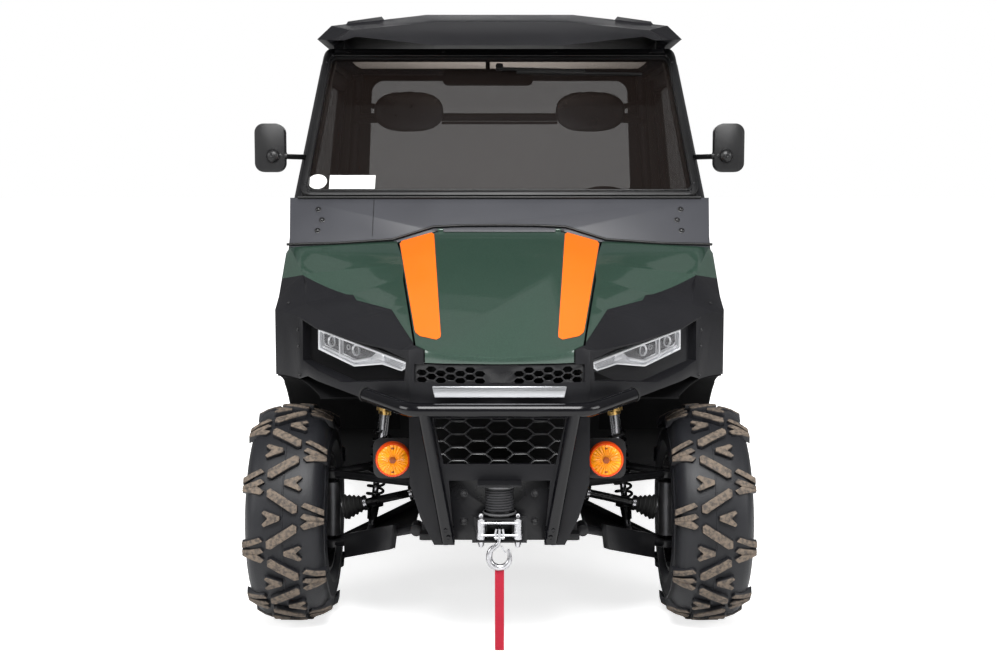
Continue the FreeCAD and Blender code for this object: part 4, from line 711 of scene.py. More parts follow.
seat_x, down, rearward = 0.365, (0, 0, -1), (0, 1, 0)
cushion = soft((seat_x - 0.229, -0.054, 0.779), (seat_x + 0.229, 0.392, 0.872), 0.030,
               [(0, seat_x - 0.12, 0.014, 0.008, down), (0, seat_x + 0.12, 0.014, 0.008, down),
                (1, 0.11, 0.014, 0.006, down)])
hinge = Matrix.Translation((0, 0.400, 0.886))
lean = hinge @ Matrix.Rotation(math.radians(-6.8), 4, "X") @ hinge.inverted()
rest_pad = soft((seat_x - 0.217, 0.314, 0.892), (seat_x + 0.217, 0.390, 1.290), 0.028,
                [(0, seat_x - 0.11, 0.014, 0.008, rearward), (0, seat_x + 0.11, 0.014, 0.008, rearward),
                 (2, 1.03, 0.014, 0.006, rearward), (2, 1.17, 0.014, 0.006, rearward)], lean)
clear()
bpy.ops.mesh.primitive_uv_sphere_add(segments=48, ring_count=24, radius=1,
                                     location=(seat_x, 0.442, 1.6305))
head_pad = bpy.context.object
for point in head_pad.data.vertices:
    for axis, (half, flat) in enumerate(((0.140, 0.72), (0.034, 0.80), (0.080, 0.86))):
        point.co[axis] = half * math.copysign(abs(point.co[axis]) ** flat, point.co[axis])
swell(applied(head_pad), 0.006, 0.006)
finer(head_pad)
for kind, left in (("seat_cushion", cushion), ("seat_back", rest_pad), ("headrest", head_pad)):
    right = copied(left, mirror)
    for made, hand in ((left, "left"), (right, "right")):
        settle(made, "%s_%s" % (kind, hand), "root", seat_vinyl)
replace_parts(cushion, "seats")


# Headrest mounts: flat steel lugs from the rear posts, and a thin second bar under the cross tube.

lugs, post_y = [], 0.474
for (x0, z0), (x1, z1), half in (((0.492, 1.650), (0.592, 1.676), 0.011),
                                 ((0.492, 1.598), (0.596, 1.590), 0.010)):
    outline = [(x0, z0 - half), (x1, z1 - half), (x1, z1 + half), (x0, z0 + half)]
    lugs.append(prism([(x, post_y, z) for x, z in outline], (0, 0.006, 0), 0.002))
    lugs.append(stand(dome(0.006), (x1 - 0.016, post_y, z1), (x1 - 0.016, 0.2, z1)))
mounts = both_sides(one(lugs))
thin_bar = tube([(-0.235, 0.490, 1.588), (0.235, 0.490, 1.588)], 0.006)
settle(one([mounts, thin_bar]), "headrest_mounts", "root", cage_coat)


# Windscreen and windows: tinted safety glass, the screen held in a black rubber frame.

screen_rubber = coated("screen_rubber", (0.007, 0.007, 0.0075), 0.40, level=0.35, grain=0.001)
eased("screen_frame", "root", screen_rubber, 0.004)


def glazing(name, colour, clear_share, rough):
    """Tinted glass seen through by its alpha, with a clean gloss. Each pane has two faces."""
    made, tree, shader = finish_of(name, colour, rough, level=0.3)
    shader.inputs["Alpha"].default_value = 1 - clear_share
    drive(shader, "Roughness", spread(tree, pattern(tree, 0.3), rough * 0.7, rough * 1.5))
    return made


tinted = glazing("tinted_glass", (0.010, 0.007, 0.006), 0.54, 0.015)
dress(tinted, "cab_glass")
privacy = glazing("privacy_glass", (0.010, 0.009, 0.008), 0.30, 0.015)
dress(privacy, "door_glass_left", "door_glass_right")


screen_out = Vector((0, -0.793, 0.609))


def on_screen(share, inset, lift):
    """A point of the screen's left half: a share of its height, an inset from its side, a lift."""
    foot, head = Vector((0.662, -0.597, 1.298)), Vector((0.618, -0.212, 1.800))
    return foot.lerp(head, share) - Vector((inset, 0, 0)) + screen_out * lift


bead_rubber = coated("bead_rubber", (0.010, 0.010, 0.0105), 0.22, level=0.6)
ring, corner_radius, screen_long = [], 0.022, 0.633
for share, first, upward in ((0.026, 270, 1), (0.972, 0, -1)):
    for angle in (math.radians(first + 22.5 * part) for part in range(5)):
        across = corner_radius * (1 - abs(math.cos(angle)))
        along = corner_radius * (1 - abs(math.sin(angle))) / screen_long
        ring.append(on_screen(share + upward * along, 0.022 + across, 0.0035))
ring += [Vector((-point.x, point.y, point.z)) for point in reversed(ring)]
settle(tube(ring, 0.0022, True), "screen_bead", "root", bead_rubber)
screws = []
for share, inset in ((0.022, 0.030), (0.075, 0.014), (0.978, 0.030), (0.925, 0.014)):
    at = on_screen(share, inset, 0.001)
    screws.append(stand(dome(0.0045), at, at + screen_out))
settle(both_sides(one(screws)), "screen_screws", "root", cage_coat)


# Wiper: a black rubber blade on a steel arm, pivoted on the header.

wiper_black = coated("wiper_black", (0.006, 0.006, 0.006), 0.40, level=0.35)
eased("wiper", "root", wiper_black, 0.001)


# Rear panel: black sheet behind the seats, bolted to the cage.

eased("rear_panel", "root", cage_coat, 0.003)


# Inspection labels: blank white paper on the lower corner of the screen, one round, one square.

paper = coated("label_paper", (0.80, 0.80, 0.79), 0.50, level=0.4, grain=0.0008, depth=0.00005,
               shade=0.04)


def layered(made, way, thick):
    """Turn a thin film against the direction it was laid along, and thicken it."""
    if made.data.polygons[0].normal.dot(way) > 0:
        made.data.flip_normals()
    skin = made.modifiers.new("film", "SOLIDIFY")
    skin.thickness, skin.offset = thick, 1
    return fix(made)


def pasted(outline, name):
    """A paper label cut to an outline of (across, up) points and laid on the screen."""
    points, way = [], Vector((0, 1, 0))
    for x, z in outline:
        _, where, normal, _ = nodes["cab_glass"].ray_cast(Vector((x, -1.6, z)), way)
        points.append(where + normal * 0.0006)
    label = layered(meshed(name, points, (), [list(range(len(points)))]), way, 0.0004)
    settle(label, name, "root", paper)


angles = [n * math.pi / 16 for n in range(32)]
pasted([(-0.606 + 0.031 * math.cos(a), 1.341 + 0.024 * math.sin(a)) for a in angles], "label_round")
pasted([(-0.566, 1.317), (-0.414, 1.317), (-0.414, 1.362), (-0.566, 1.362)], "label_square")


# Roof: one vacuum formed black sheet with raised ribs, satin, bolted through to the cage.

roof_plastic = coated("roof_plastic", (0.0080, 0.0080, 0.0095), 0.42, level=0.16, grain=0.001,
                      depth=0.00015)
eased("roof", "root", roof_plastic, 0.005, 0.012)


# Headliner: a pale felt board between the rails of the cage, under the roof. Its pale colour is painted
# light: a pale sheet, lit by the cab light, that stands for the light seen through the top of the
# screen.

# Painted light: the board's pale colour puts in the light seen through the top of the screen.
painted_light_board = coated("painted_light_board", (0.42, 0.37, 0.33), 0.9, level=0.1, grain=0.003, depth=0.0004, patch=0.1,
              shade=0.06)
plan = [(-0.560, -0.150), (0.560, -0.150), (0.560, 0.495), (-0.560, 0.495)]
board = prism([(x, y, 1.799) for x, y in plan], (0, 0, 0.004), 0.0015)
settle(board, "headliner", "root", painted_light_board)


# Doors: a steel frame behind a flush skin, powder coated black, glazed with rubber.

for hand in ("left", "right"):
    eased("door_" + hand, "door_" + hand, powder_black, 0.004)


# Hood lid and front fenders: injection moulded panels in dark green metallic paint under clear coat.

def metallic(name, colour):
    """Flaked paint under clear coat: tiny bright flakes that tilt the base, and a smooth top."""
    made, tree, shader = finish_of(name, colour, 0.34, metal=0.35, level=0.5)
    flakes = placed(tree, add(tree, "ShaderNodeTexVoronoi", Scale=900))
    share = spread(tree, flakes.outputs["Color"], 0, 1, 0.35, 0.95)
    base, flake = [part * 0.82 for part in colour], [part * 1.45 + 0.004 for part in colour]
    drive(shader, "Base Color", mixed(tree, share, base, flake))
    drive(shader, "Roughness", spread(tree, pattern(tree, 0.5), 0.28, 0.40))
    shader.inputs["Coat Weight"].default_value = 1.0
    shader.inputs["Coat Roughness"].default_value = 0.04
    return made


green_paint = metallic("green_metallic", (0.028, 0.060, 0.043))
eased("hood_lid", "hood", green_paint, 0.0012, 0.008)
eased("front_fenders", "root", green_paint, 0.0012, 0.008)


# Front cladding: moulded black polypropylene round the lamps, clipped to the fenders.

clad_plastic = coated("cladding_plastic", (0.0075, 0.0075, 0.0090), 0.44, level=0.24, grain=0.0013,
                      depth=0.0002)
eased("front_cladding", "root", clad_plastic, 0.0015, 0.008)


# Inner fenders: dull black liners of the wheel arches, screwed to the frame.

# The same dull black also paints shade into the recesses behind the head lamps.
liner_and_pocket_shade = coated("liner_and_pocket_shade", (0.004, 0.004, 0.0045), 0.8, level=0.12)
eased("inner_fenders", "root", liner_and_pocket_shade, 0)


# Stripes: orange vinyl film on both slanted edges of the lid.

vinyl_orange = coated("orange_vinyl", (0.76, 0.125, 0.007), 0.32, level=0.3, grain=0.002, depth=0.00003,
                      shade=0.04)


def on_lid(rows, name):
    """A vinyl film over a grid of points, laid down on the hood's lid."""
    bpy.context.view_layer.update()
    lid = bpy.data.objects["hood_lid_finished"]
    points, wide, way = [], len(rows[0]), Vector((0, 0, -1))
    for point in (point for row in rows for point in row):
        hit, at, _, _ = lid.ray_cast(point - way * 0.02, way, distance=0.035)
        points.append((at if hit else point) - way * 0.0006)
    faces = []
    for start in (r * wide + c for r in range(len(rows) - 1) for c in range(wide - 1)):
        faces.append((start, start + 1, start + wide + 1, start + wide))
    film = layered(meshed(name, points, (), faces), way, 0.0003)
    settle(smooth(film, 30), name, "hood", vinyl_orange)


for side, hand in ((1, "left"), (-1, "right")):
    rows = []
    for part in range(41):
        along = 0.016 + 0.900 * part / 40
        trim = max(0.0, (part - 38.5) / 1.5) ** 2 * 0.16 + max(0.0, 1.0 - part) ** 2 * 0.06
        outer = Vector((0.332, -0.697, 1.149)).lerp(Vector((0.229, -1.430, 0.889)), along)
        inner = Vector((0.209, -0.674, 1.184)).lerp(Vector((0.153, -1.465, 0.871)), along)
        row = []
        for across in range(7):
            point = outer.lerp(inner, 0.060 + trim + (0.900 - 2 * trim) * across / 6)
            row.append(Vector((side * point.x, point.y, point.z)))
        rows.append(row)
    on_lid(rows, "stripe_" + hand)


# Flare bolts: small domed screws that hold the cladding's side flares.

flare_spots = [(0.646, 0.968), (0.606, 0.895), (0.605, 0.846), (0.600, 0.759)]
bolted("front_cladding", flare_spots, dome, 0.005, "flare_bolts", cage_coat)


# Head lamps: a clear cover over a black chamber with chromed reflectors and a silver surround.

lamp_silver = coated("lamp_silver", (0.80, 0.81, 0.83), 0.22, metal=0.6, grain=0.001, depth=0.00002,
                     shade=0.08)
eased("head_lamps", "root", lamp_silver, 0.0012)
lamp_black = coated("lamp_black", (0.006, 0.006, 0.008), 0.12, level=0.6, shade=0.1)
lamp_cover = glazing("lamp_cover", (0.5, 0.5, 0.52), 0.90, 0.02)


lamp_out = Vector((0.7119, -0.7022, 0))


def in_lamp(x, z, deep):
    """A point of the left lamp in metres, from millimetres on the lamp's slanted plane."""
    return (Vector((x, -1400 + (x - 237) * 290 / 294, z)) + lamp_out * deep) / 1000


def lamp_slab(outline, back, front, edge=0.0006):
    """A plate of the lamp between two depths in millimetres."""
    return prism([in_lamp(x, z, back) for x, z in outline], lamp_out * (front - back) / 1000, edge)


def in_pocket(center, normal):
    """True for the faces of the cladding behind the left or the right lamp."""
    x, y, z = abs(center.x), center.y, center.z
    deep = (Vector((x, y, 0)) - in_lamp(237, 0, 0)).dot(lamp_out)
    brow = 0.846 + (x - 0.230) * 0.247
    return deep < -0.007 and 0.226 < x < 0.585 and 0.765 < z < brow and abs(y) > 1.05


# The cladding's faces in the recess behind each lamp are split off and given the darker, duller liner
# finish: painted shade in the recesses.
cladding = bpy.data.objects["front_cladding_finished"]
pick(cladding, in_pocket)
bpy.ops.mesh.separate(type="SELECTED")
edited()
parted = [piece for piece in bpy.context.selected_objects if piece != cladding]
settle(parted[0], "lamp_pockets_painted_shade", "root", liner_and_pocket_shade)
floor_deep = -8.2
dark = [lamp_slab([(524, 896), (471, 884), (471, 841), (518, 857), (524, 866)], floor_deep, -6.5),
        lamp_slab([(460, 881), (352, 855), (372, 837), (418, 824), (460, 838)], floor_deep, -6.5)]
step_line = [(366, 835), (372, 829), (418, 815), (524, 848), (524, 856), (418, 823)]
bright = [lamp_slab([(345, 853), (328, 849), (324, 831), (352, 834)], floor_deep, -1.0, 0.002),
          lamp_slab(step_line, floor_deep, 2.0, 0.0015)]
for row in range(5):
    outer, inner, end = 844 - row * 4.5, 828 - row * 3.2, 252 + row * 4
    fin = [(320, outer), (end, inner), (end, inner - 2), (320, outer - 2.5)]
    bright.append(lamp_slab(fin, floor_deep, -3.5, 0.0004))
for x, z, radius in ((497, 869, 0.017), (418, 851, 0.017), (441, 858, 0.008)):
    bowl = [(0, 0.70), (0, 1), (0.004, 0.94), (0.004, 0.88), (0.001, 0.70), (0, 0.70)]
    lens = [(0, 0), (0, 0.7), (0.002, 0.6), (0.0035, 0.3), (0.004, 0)]
    for outline, group in ((bowl, bright), (lens, dark)):
        made = turned([(along, radius * far) for along, far in outline], 24)
        group.append(stand(made, in_lamp(x, z, -6.6), in_lamp(x, z, 20)))
settle(both_sides(one(dark)), "lamp_chambers", "root", lamp_black)
settle(both_sides(one(bright)), "lamp_reflectors", "root", lamp_silver)
cover_line = [(525, 895), (525, 848), (413, 812), (325, 829), (267, 817), (245, 836), (262, 837)]
settle(both_sides(lamp_slab(cover_line, 3.0, 5.0, 0.0008)), "lamp_covers", "root", lamp_cover)


# Nose fascia: moulded black polypropylene between the lamps and down to the skid plate.

eased("front_fascia", "root", clad_plastic, 0.005)


# Grilles: moulded honeycombs. The upper pair is the CAD's, and the lower one is made of deeper,
# finer walled cells in its place.

grille_plastic = coated("grille_plastic", (0.010, 0.010, 0.011), 0.30, level=0.45)
eased("grilles", "root", grille_plastic, 0.001)
pick(bpy.data.objects["grilles_finished"], lambda center, normal: center.z < 0.72)
bpy.ops.mesh.delete(type="FACE")
edited()


def cell(x, z, wide, high, web, front, back):
    """One cell of the honeycomb: a six-sided ring with walls running back."""
    points, faces = [], []
    for w, h, y in ((wide, high, front), (wide - web * 2, high - web * 1.8, front - 0.0015),
                    (wide - web * 2.6, high - web * 2.4, back), (wide, high, back)):
        for u, v in ((0.5, 0), (0.25, 0.5), (-0.25, 0.5), (-0.5, 0), (-0.25, -0.5), (0.25, -0.5)):
            points.append((x + u * w, y, z + v * h))
    for r in range(4):
        near, far = r * 6, (r + 1) % 4 * 6
        for n in range(6):
            after = (n + 1) % 6
            faces.append((near + n, near + after, far + after, far + n))
    return meshed("cell", points, (), faces)


cells = []
for column in range(-3, 4):
    for row in range(-2, 3):
        x, z = column * 0.057, 0.627 + row * 0.036 + (0.018 if column % 2 else 0)
        if 0.550 < z < 0.705:
            cells.append(cell(x, z, 0.0765, 0.0368, 0.0028, -1.4415, -1.4345))
honeycomb = smooth(faced_out(one(cells)), 30)
settle(honeycomb, "lower_honeycomb", "root", grille_plastic)


# Radiator: a dull black aluminium core behind the grilles.

radiator_black = coated("radiator_black", (0.003, 0.003, 0.003), 0.7, level=0.1)
eased("radiator", "root", radiator_black, 0.002)


# Nose bar: a bare bar of brushed aluminium, clipped to the fascia.

def brushed(name, colour, rough):
    """Metal brushed along X."""
    made, tree, shader = finish_of(name, colour, rough, metal=1.0)
    drawn = placed(tree, add(tree, "ShaderNodeMapping", Scale=(3, 900, 900)))
    lines = add(tree, "ShaderNodeTexNoise", Scale=1.0, Detail=4.0)
    tree.links.new(drawn.outputs["Vector"], lines.inputs["Vector"])
    drawing = lines.outputs["Fac"]
    drive(shader, "Roughness", spread(tree, drawing, rough - 0.08, rough + 0.12))
    darker = [part * 0.8 for part in colour]
    drive(shader, "Base Color", mixed(tree, drawing, darker, colour))
    raised(tree, shader, drawing, 0.00002)
    return made


eased("badge_bar", "root", brushed("brushed_bar", (0.60, 0.61, 0.63), 0.30), 0.002)


# Front guard: bent 40 mm tube, welded and stove enamelled in gloss black.

enamel = coated("gloss_enamel", (0.003, 0.003, 0.004), 0.15, level=0.34, grain=0.004, depth=0.00003,
                patch=0.15, shade=0.1)


def bent(points, reach, steps=8):
    """A run of points whose inner corners are rounded, from a reach before each to a reach after it."""
    run = [Vector(points[0])]
    for before, corner, after in zip(points, points[1:], points[2:]):
        before, corner, after = Vector(before), Vector(corner), Vector(after)
        start = corner + (before - corner).normalized() * reach
        end = corner + (after - corner).normalized() * reach
        for step in range(steps + 1):
            t = step / steps
            run.append(start * (1 - t) ** 2 + corner * 2 * t * (1 - t) + end * t ** 2)
    return run + [Vector(points[-1])]


tip, knee, way_on = (0.372, -1.372, 0.744), (0.241, -1.512, 0.722), (0.503, -1.232, 0.766)
path = [(-tip[0], tip[1], tip[2]), (-knee[0], knee[1], knee[2]), knee, tip]
rail = tube(bent(path, 0.036), 0.020)
post = tube([(0.203, -1.512, 0.722), (0.139, -1.484, 0.352)], 0.018)
foot_line = [(0.125, 0.352), (0.153, 0.352), (0.153, 0.392), (0.125, 0.392)]
foot = prism([(x, -1.484, z) for x, z in foot_line], (0, 0.0315, 0), 0.003)
plug = turned([(0, 0), (0, 0.0212), (0.006, 0.0212), (0.009, 0.018), (0.011, 0.010), (0.011, 0)], 24)
stand(plug, tip, way_on)
heads = []
for x, z in ((0.139, 0.372), (0.146, 0.392)):
    heads.append(stand(hex_head(0.006), (x, -1.502, z), (x, -2, z)))
guard = settle(one([rail, both_sides(one([post, foot] + heads))]), "front_guard", "root",
               enamel)
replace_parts(guard, "bull_bar")
settle(both_sides(plug), "guard_plugs", "root", boot_rubber)


# Winch: black enamelled gear case and drum between turned flanges, wound with dark fibre rope and
# bolted through the nose plate. The fairlead's frame has the same enamel.

winch_black = coated("winch_black", (0.005, 0.005, 0.006), 0.30, level=0.32, patch=0.05)
eased("winch", "root", winch_black, 0.0015)
eased("fairlead", "root", winch_black, 0.001)
rope_dark = coated("rope_fibre", (0.020, 0.020, 0.022), 0.62, level=0.3, grain=0.0012, depth=0.0005,
                   patch=0.02)
drum_y = -1.462
rope = shift(coil(0.0365, 0.0070, 0.0073, 9), (0, drum_y, 0.4385))
settle(rope, "winch_rope", "root", rope_dark)
spool_grey = coated("spool_grey", (0.075, 0.075, 0.078), 0.40, level=0.5, patch=0.04)
flanges = []
for z in (0.431, 0.505):
    flange = turned([(0, 0), (0, 0.0445), (0.001, 0.0465), (0.004, 0.0465), (0.005, 0.0445),
                     (0.005, 0)], 40)
    flanges.append(shift(flange, (0, drum_y, z)))
settle(one(flanges), "winch_flanges", "root", spool_grey)
bolted("winch", [(0.098, 0.478), (0.098, 0.400)], hex_head, 0.0085, "winch_bolts", shaft_steel)


# Fairlead rollers: two upright steel rollers on pins and two crossbars, bright zinc plated.

rollers, apart, pin_y = [], 0.050, -1.486
for x in (apart, -apart):
    roller = turned([(0, 0), (0, 0.0075), (0.004, 0.0075), (0.004, 0.0128), (0.062, 0.0128),
                     (0.062, 0.0075), (0.070, 0.0075), (0.074, 0.005), (0.074, 0)], 24)
    nut = turned([(0, 0), (0.002, 0.006), (0.012, 0.009), (0.022, 0.009), (0.022, 0)], 6)
    rollers += [shift(roller, (x, pin_y, 0.360)), shift(nut, (x, pin_y, 0.340))]
for z in (0.376, 0.410):
    rollers.append(tube([(-apart, -1.4955, z), (apart, -1.4955, z)], 0.0040))
settle(one(rollers), "fairlead_rollers", "root", bright_zinc)


# Hook: drop forged steel with a spring latch, pinned into a clevis on the rope's end, zinc plated.

hook_y = -1.515
curl = [(0, 0.398), (0, 0.372), (-0.002, 0.352), (-0.024, 0.346), (-0.030, 0.322), (-0.024, 0.300),
        (0, 0.288), (0.026, 0.300), (0.030, 0.322), (0.024, 0.342)]
thick = [0.55, 0.7, 0.9, 1.1, 1.25, 1.35, 1.35, 1.2, 0.9, 0.45]
hook = [tube([(x, hook_y, z) for x, z in curl], 0.0068, False, thick)]
for outline, radius in (([(0.004, 0.352), (0.018, 0.332)], 0.0024),
                        ([(-0.009, 0.398), (-0.011, 0.386), (-0.009, 0.370)], 0.0032),
                        ([(0.009, 0.398), (0.011, 0.386), (0.009, 0.370)], 0.0032),
                        ([(-0.014, 0.374), (0.014, 0.374)], 0.0034)):
    hook.append(tube([(x, hook_y, z) for x, z in outline], radius))
hook.append(tube([(0, hook_y, 0.392), (0, -1.430, 0.392)], 0.0038))
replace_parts(settle(one(hook), "clevis_hook", "root", bright_zinc), "winch_hook")


# Pull strap: red polyester webbing, folded through the hook's eye and sewn.

def woven(name, colour, pitch):
    """Webbing: rows of yarn across the strap, with painted shade in the grooves between them."""
    made, tree, shader = finish_of(name, colour, 0.82, level=0.25)
    rows = add(tree, "ShaderNodeTexWave", Scale=1 / pitch / 3.1416, Distortion=0.6, Detail=1.0)
    rows.bands_direction = "Z"
    yarn_relief_and_shade = placed(tree, rows).outputs["Fac"]
    # Darker between the rows: painted shade in the grooves, with the same mask as the relief.
    drive(shader, "Base Color", mixed(tree, yarn_relief_and_shade, [part * 0.55 for part in colour], colour))
    raised(tree, shader, yarn_relief_and_shade, 0.0005)
    shader.inputs["Sheen Weight"].default_value = 0.3
    return made


dress(woven("red_webbing", (0.50, 0.004, 0.030), 0.0022), "hook_strap")


# Turn lamps: amber polycarbonate, fluted inside, on black brackets.

amber = coated("amber_lens", (1.0, 0.33, 0.004), 0.10, level=0.5, grain=0.003, depth=0.0002, patch=0.02,
               shade=0.25)
deep_orange = coated("lens_rim", (0.75, 0.065, 0.004), 0.12, level=0.5, grain=0.003, depth=0.0001)
lens_brown = coated("lens_bulb", (0.30, 0.060, 0.004), 0.2, level=0.5, grain=0.003, depth=0.0001)
lens = turned([(0.004, 0), (0.004, 0.0440), (0.026, 0.0435), (0.0285, 0.040), (0.0300, 0.030),
               (0.0295, 0.013), (0.0275, 0.012), (0.0275, 0)], 96)
flutes, flute_deep = 24, 0.0016
for point in lens.data.vertices:
    far = math.hypot(point.co.x, point.co.y)
    if 0.012 < far < 0.0415 and point.co.z > 0.02:
        point.co.z += flute_deep * math.cos(flutes * math.atan2(point.co.y, point.co.x))
rim = turned([(0, 0.040), (0, 0.050), (0.022, 0.050), (0.028, 0.0475), (0.0285, 0.0440),
              (0.026, 0.0430), (0, 0.040)], 64)
bulb = turned([(0.027, 0), (0.027, 0.0105), (0.031, 0.0095), (0.032, 0)], 6)
square, half, bow = [], 0.034, 0.024
for corner, (x, z) in enumerate(((half, half), (-half, half), (-half, -half), (half, -half))):
    for angle in (math.radians(90 * corner + 22.5 * part) for part in range(5)):
        square.append((x + bow * math.cos(angle), z + bow * math.sin(angle), -0.006))
plate = prism(square, (0, 0, 0.008), 0.002)
screws = [shift(dome(0.0036), (0, up, 0.0285)) for up in (0.0335, -0.0335)]
for made in [lens, rim, bulb, plate] + screws:
    stand(made, (0.302, -1.3005, 0.551), (0.302, -2, 0.551))
arm = tube([(0.2235, -1.300, 0.551), (0.262, -1.297, 0.551)], 0.009)
lenses = settle(both_sides(lens), "turn_lenses", "root", amber)
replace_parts(lenses, "turn_lamps")
settle(both_sides(rim), "turn_lamp_rims", "root", deep_orange)
settle(both_sides(one([bulb] + screws)), "turn_lamp_bulbs", "root", lens_brown)
settle(both_sides(one([plate, arm])), "turn_lamp_brackets", "root", cage_coat)


# Cowl: folded sheet steel under the screen, powder coated dark grey, bolted at both ends.

cowl_grey = coated("cowl_coat", (0.040, 0.041, 0.047), 0.42, level=0.35, patch=0.3, shade=0.12)
eased("cowl_panel", "root", cowl_grey, 0.0012)
cowl_spots = [(0.594, 1.250), (0.580, 1.216), (0.592, 1.182)]
bolted("cowl_panel", cowl_spots, dome, 0.0078, "cowl_bolts", shaft_steel)


# Cowl seals: a rubber bead over the hood's edge, a sealed joint in the sheet, and the screen's sill.

def on_cowl(x, z, lift):
    """A point of the cowl's slanted front, lifted off it."""
    return Vector((x, -0.716 + (z - 1.120) * 0.654 - lift, z + lift * 0.3))


brow = [(0.688, 1.137), (0.52, 1.141), (0.345, 1.153), (0.27, 1.176), (0.215, 1.193), (0.12, 1.197)]
hood_line = brow + [(0, 1.198)] + [(-x, z) for x, z in reversed(brow)]
for name, outline, lift, radius in (
        ("hood_bead", hood_line, 0.004, 0.0045),
        ("cowl_joint", [(-0.413, 1.165), (-0.413, 1.284)], 0.0006, 0.0009),
        ("screen_sill", [(-0.664, 1.2885), (0.664, 1.2885)], 0.002, 0.0055)):
    line = tube([on_cowl(x, z, lift) for x, z in outline], radius)
    settle(line, name, "root", wiper_black)


# Mirrors: black moulded shells on rods with ball clamps.

mirror_plastic = coated("mirror_plastic", (0.007, 0.007, 0.0075), 0.34, level=0.42, grain=0.001)
eased("mirrors", "root", mirror_plastic, 0.010, 0, 40)
eased("inside_mirror", "root", mirror_plastic, 0.010, 0, 40)


# Mirror glasses: silvered glass that faces the driver. A ball clamp on each shell grips its rod.

mirror_glass = coated("mirror_glass", (0.75, 0.76, 0.78), 0.03, metal=1.0, grain=0.01, depth=0.00001,
                      shade=0.03)
face_line = [(0.715, 1.392), (0.715, 1.512), (0.727, 1.520), (0.779, 1.520), (0.791, 1.512),
             (0.791, 1.392), (0.779, 1.382), (0.727, 1.382)]
face = prism([(x, -0.5755, z) for x, z in face_line], (0, 0.0020, 0), 0.0008)
settle(both_sides(face), "mirror_glasses", "root", mirror_glass)
clamp = turned([(0, 0), (0, 0.021), (0.006, 0.0225), (0.012, 0.021), (0.018, 0.015), (0.021, 0.007),
                (0.021, 0)], 28)
knob = hex_head(0.007)
for made, start_y in ((clamp, -0.616), (knob, -0.634)):
    stand(made, (0.742, start_y, 1.425), (0.742, -1, 1.425))
collar = tube([(0.700, -0.603, 1.425), (0.728, -0.612, 1.425)], 0.013)
settle(both_sides(one([clamp, knob, collar])), "mirror_clamps", "root", mirror_plastic)


# Door handles: black paddles on the doors' rear edges, each over a round lock.

paddle_line = [(-0.055, -0.014), (0.055, -0.014), (0.062, 0), (0.055, 0.014), (-0.055, 0.014),
               (-0.062, 0)]
for side, hand in ((1, "left"), (-1, "right")):
    bpy.context.view_layer.update()
    door = bpy.data.objects["door_%s_finished" % hand]
    _, at, _, _ = door.ray_cast(Vector((side * 2, 0.33, 1.03)), Vector((-side, 0, 0)))
    paddle = prism([(x, y, 0) for x, y in paddle_line], (0, 0, 0.011), 0.003)
    paddle.data.transform(Matrix.Rotation(math.radians(90), 4, "Z"))
    lock = turned([(0, 0), (0, 0.010), (0.004, 0.010), (0.005, 0.008), (0.005, 0)], 20)
    handle = one([paddle, shift(lock, (0, -0.036, 0))])
    handle.data.transform(Matrix.Translation(at) @ Matrix.Rotation(math.radians(90 * side), 4, "Y"))
    settle(handle, "door_handle_" + hand, "door_" + hand, mirror_plastic)


# Rear fenders: moulded black polypropylene, clipped to the tub.

eased("rear_fenders", "root", clad_plastic, 0.002)


# Tail lamps: red acrylic lenses.

red_lens = coated("red_lens", (0.55, 0.012, 0.010), 0.12, level=0.6, grain=0.004, depth=0.0003,
                  shade=0.15)
eased("tail_lamps", "root", red_lens, 0.006)


# Load bed and tailgate: pressed and welded steel in the body's green.

eased("cargo_bed", "bed", green_paint, 0.003)
eased("tailgate", "tailgate", green_paint, 0.003)


# Studio floor: pale and matt, whitening away from the vehicle so that it meets the backdrop.

clear()
bpy.ops.mesh.primitive_circle_add(vertices=96, radius=400, fill_type="NGON", location=(0, 0, 0))
floor = bpy.context.object
floor.name = "floor"
pale, tree, shader = finish_of("pale_floor", (0.80, 0.80, 0.80), 0.9, level=0.1)
ray = add(tree, "ShaderNodeLightPath").outputs
reach = placed(tree, add(tree, "ShaderNodeVectorMath"))
reach.operation = "LENGTH"
near, far, dim, bright_white = 1.6, 4.6, 0.74, 1.1
glow = spread(tree, reach.outputs["Value"], dim, bright_white, near, far)
shader.inputs["Emission Color"].default_value = (1, 1, 1, 1)
drive(shader, "Emission Strength", combined(tree, "MULTIPLY", ray["Is Camera Ray"], glow))
painted(floor.data, pale)


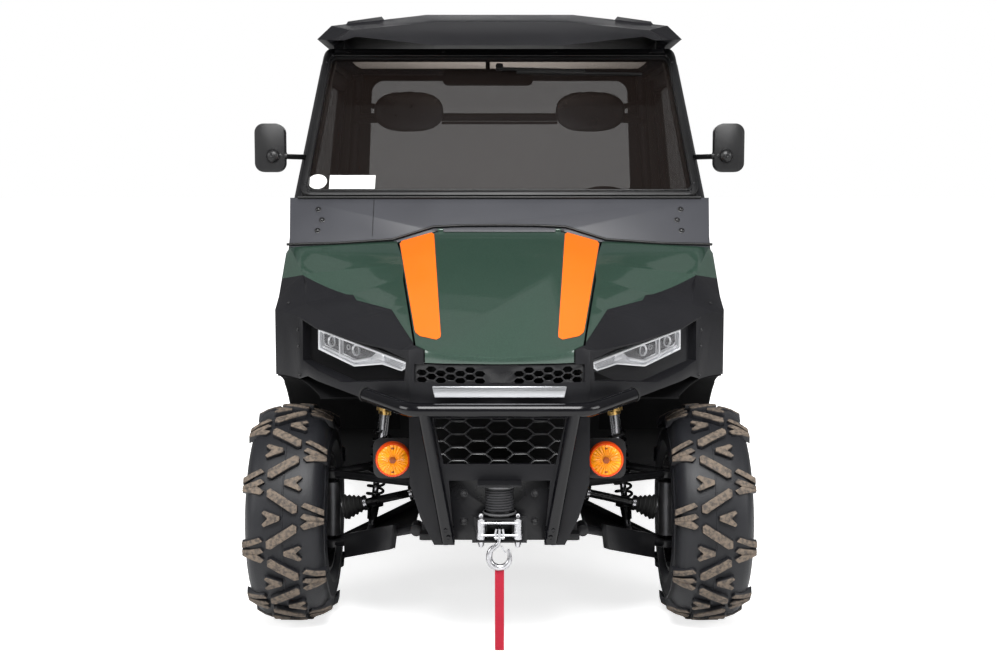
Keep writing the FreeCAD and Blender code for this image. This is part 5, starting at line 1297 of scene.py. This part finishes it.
# World: white to the camera and through glass, a dimmer grey in reflections and as fill light.

world = bpy.data.worlds.new("studio")
bpy.context.scene.world = world
world.use_nodes = True
tree = world.node_tree
sky = tree.nodes["Background"]
sky.inputs["Color"].default_value = (1, 1, 1, 1)
ray = add(tree, "ShaderNodeLightPath").outputs
clean = combined(tree, "MAXIMUM", ray["Is Camera Ray"], ray["Is Transmission Ray"])
fill, mirrored = 0.34, 0.24
grey = spread(tree, ray["Is Glossy Ray"], fill, mirrored, 0, 1)
drive(sky, "Strength", combined(tree, "MAXIMUM", clean, grey))


# Lamps: large soft squares round the vehicle, and a small one that lights the headliner. Each has
# its place, what it aims at, its width in metres and its power in watts.

for name, place, aim, wide, power in (
        ("top_light", (0, -3.9, 3.9), (0, -1.0, 0.8), 2.4, 270),
        ("sky_light", (0, 0.6, 4.6), (0, 0.4, 1.0), 2.6, 110),
        ("left_light", (4.4, -3.2, 2.4), (0, -0.8, 0.9), 2.2, 90),
        ("cab_light", (0, 0.10, 1.20), (0, 0.12, 1.8), 0.7, 14),
        ("right_light", (-4.4, -3.2, 2.4), (0, -0.8, 0.9), 2.2, 90),
        ("back_light", (0, 5.0, 3.4), (0, 0.6, 1.0), 3.0, 90)):
    lamp = bpy.data.lights.new(name, "AREA")
    lamp.shape, lamp.size, lamp.energy = "SQUARE", wide, power
    made = bpy.data.objects.new(name, lamp)
    made.location = place
    made.rotation_euler = (Vector(aim) - Vector(place)).to_track_quat("-Z", "Y").to_euler()
    bpy.context.collection.objects.link(made)
    made.visible_glossy = name not in ("sky_light", "cab_light")
    made.visible_camera = False


# Camera: a 50 mm lens at standing height, tilted down a little.

camera = bpy.data.cameras.new("camera")
camera.lens, camera.sensor_width = 50, 36
seen_from = bpy.data.objects.new("camera", camera)
seen_from.location = (0, -5.198, 1.30)
seen_from.rotation_euler = (math.radians(90 - 5.41), 0, 0)
bpy.context.collection.objects.link(seen_from)
bpy.context.scene.camera = seen_from
bpy.context.scene.view_settings.view_transform = "Standard"
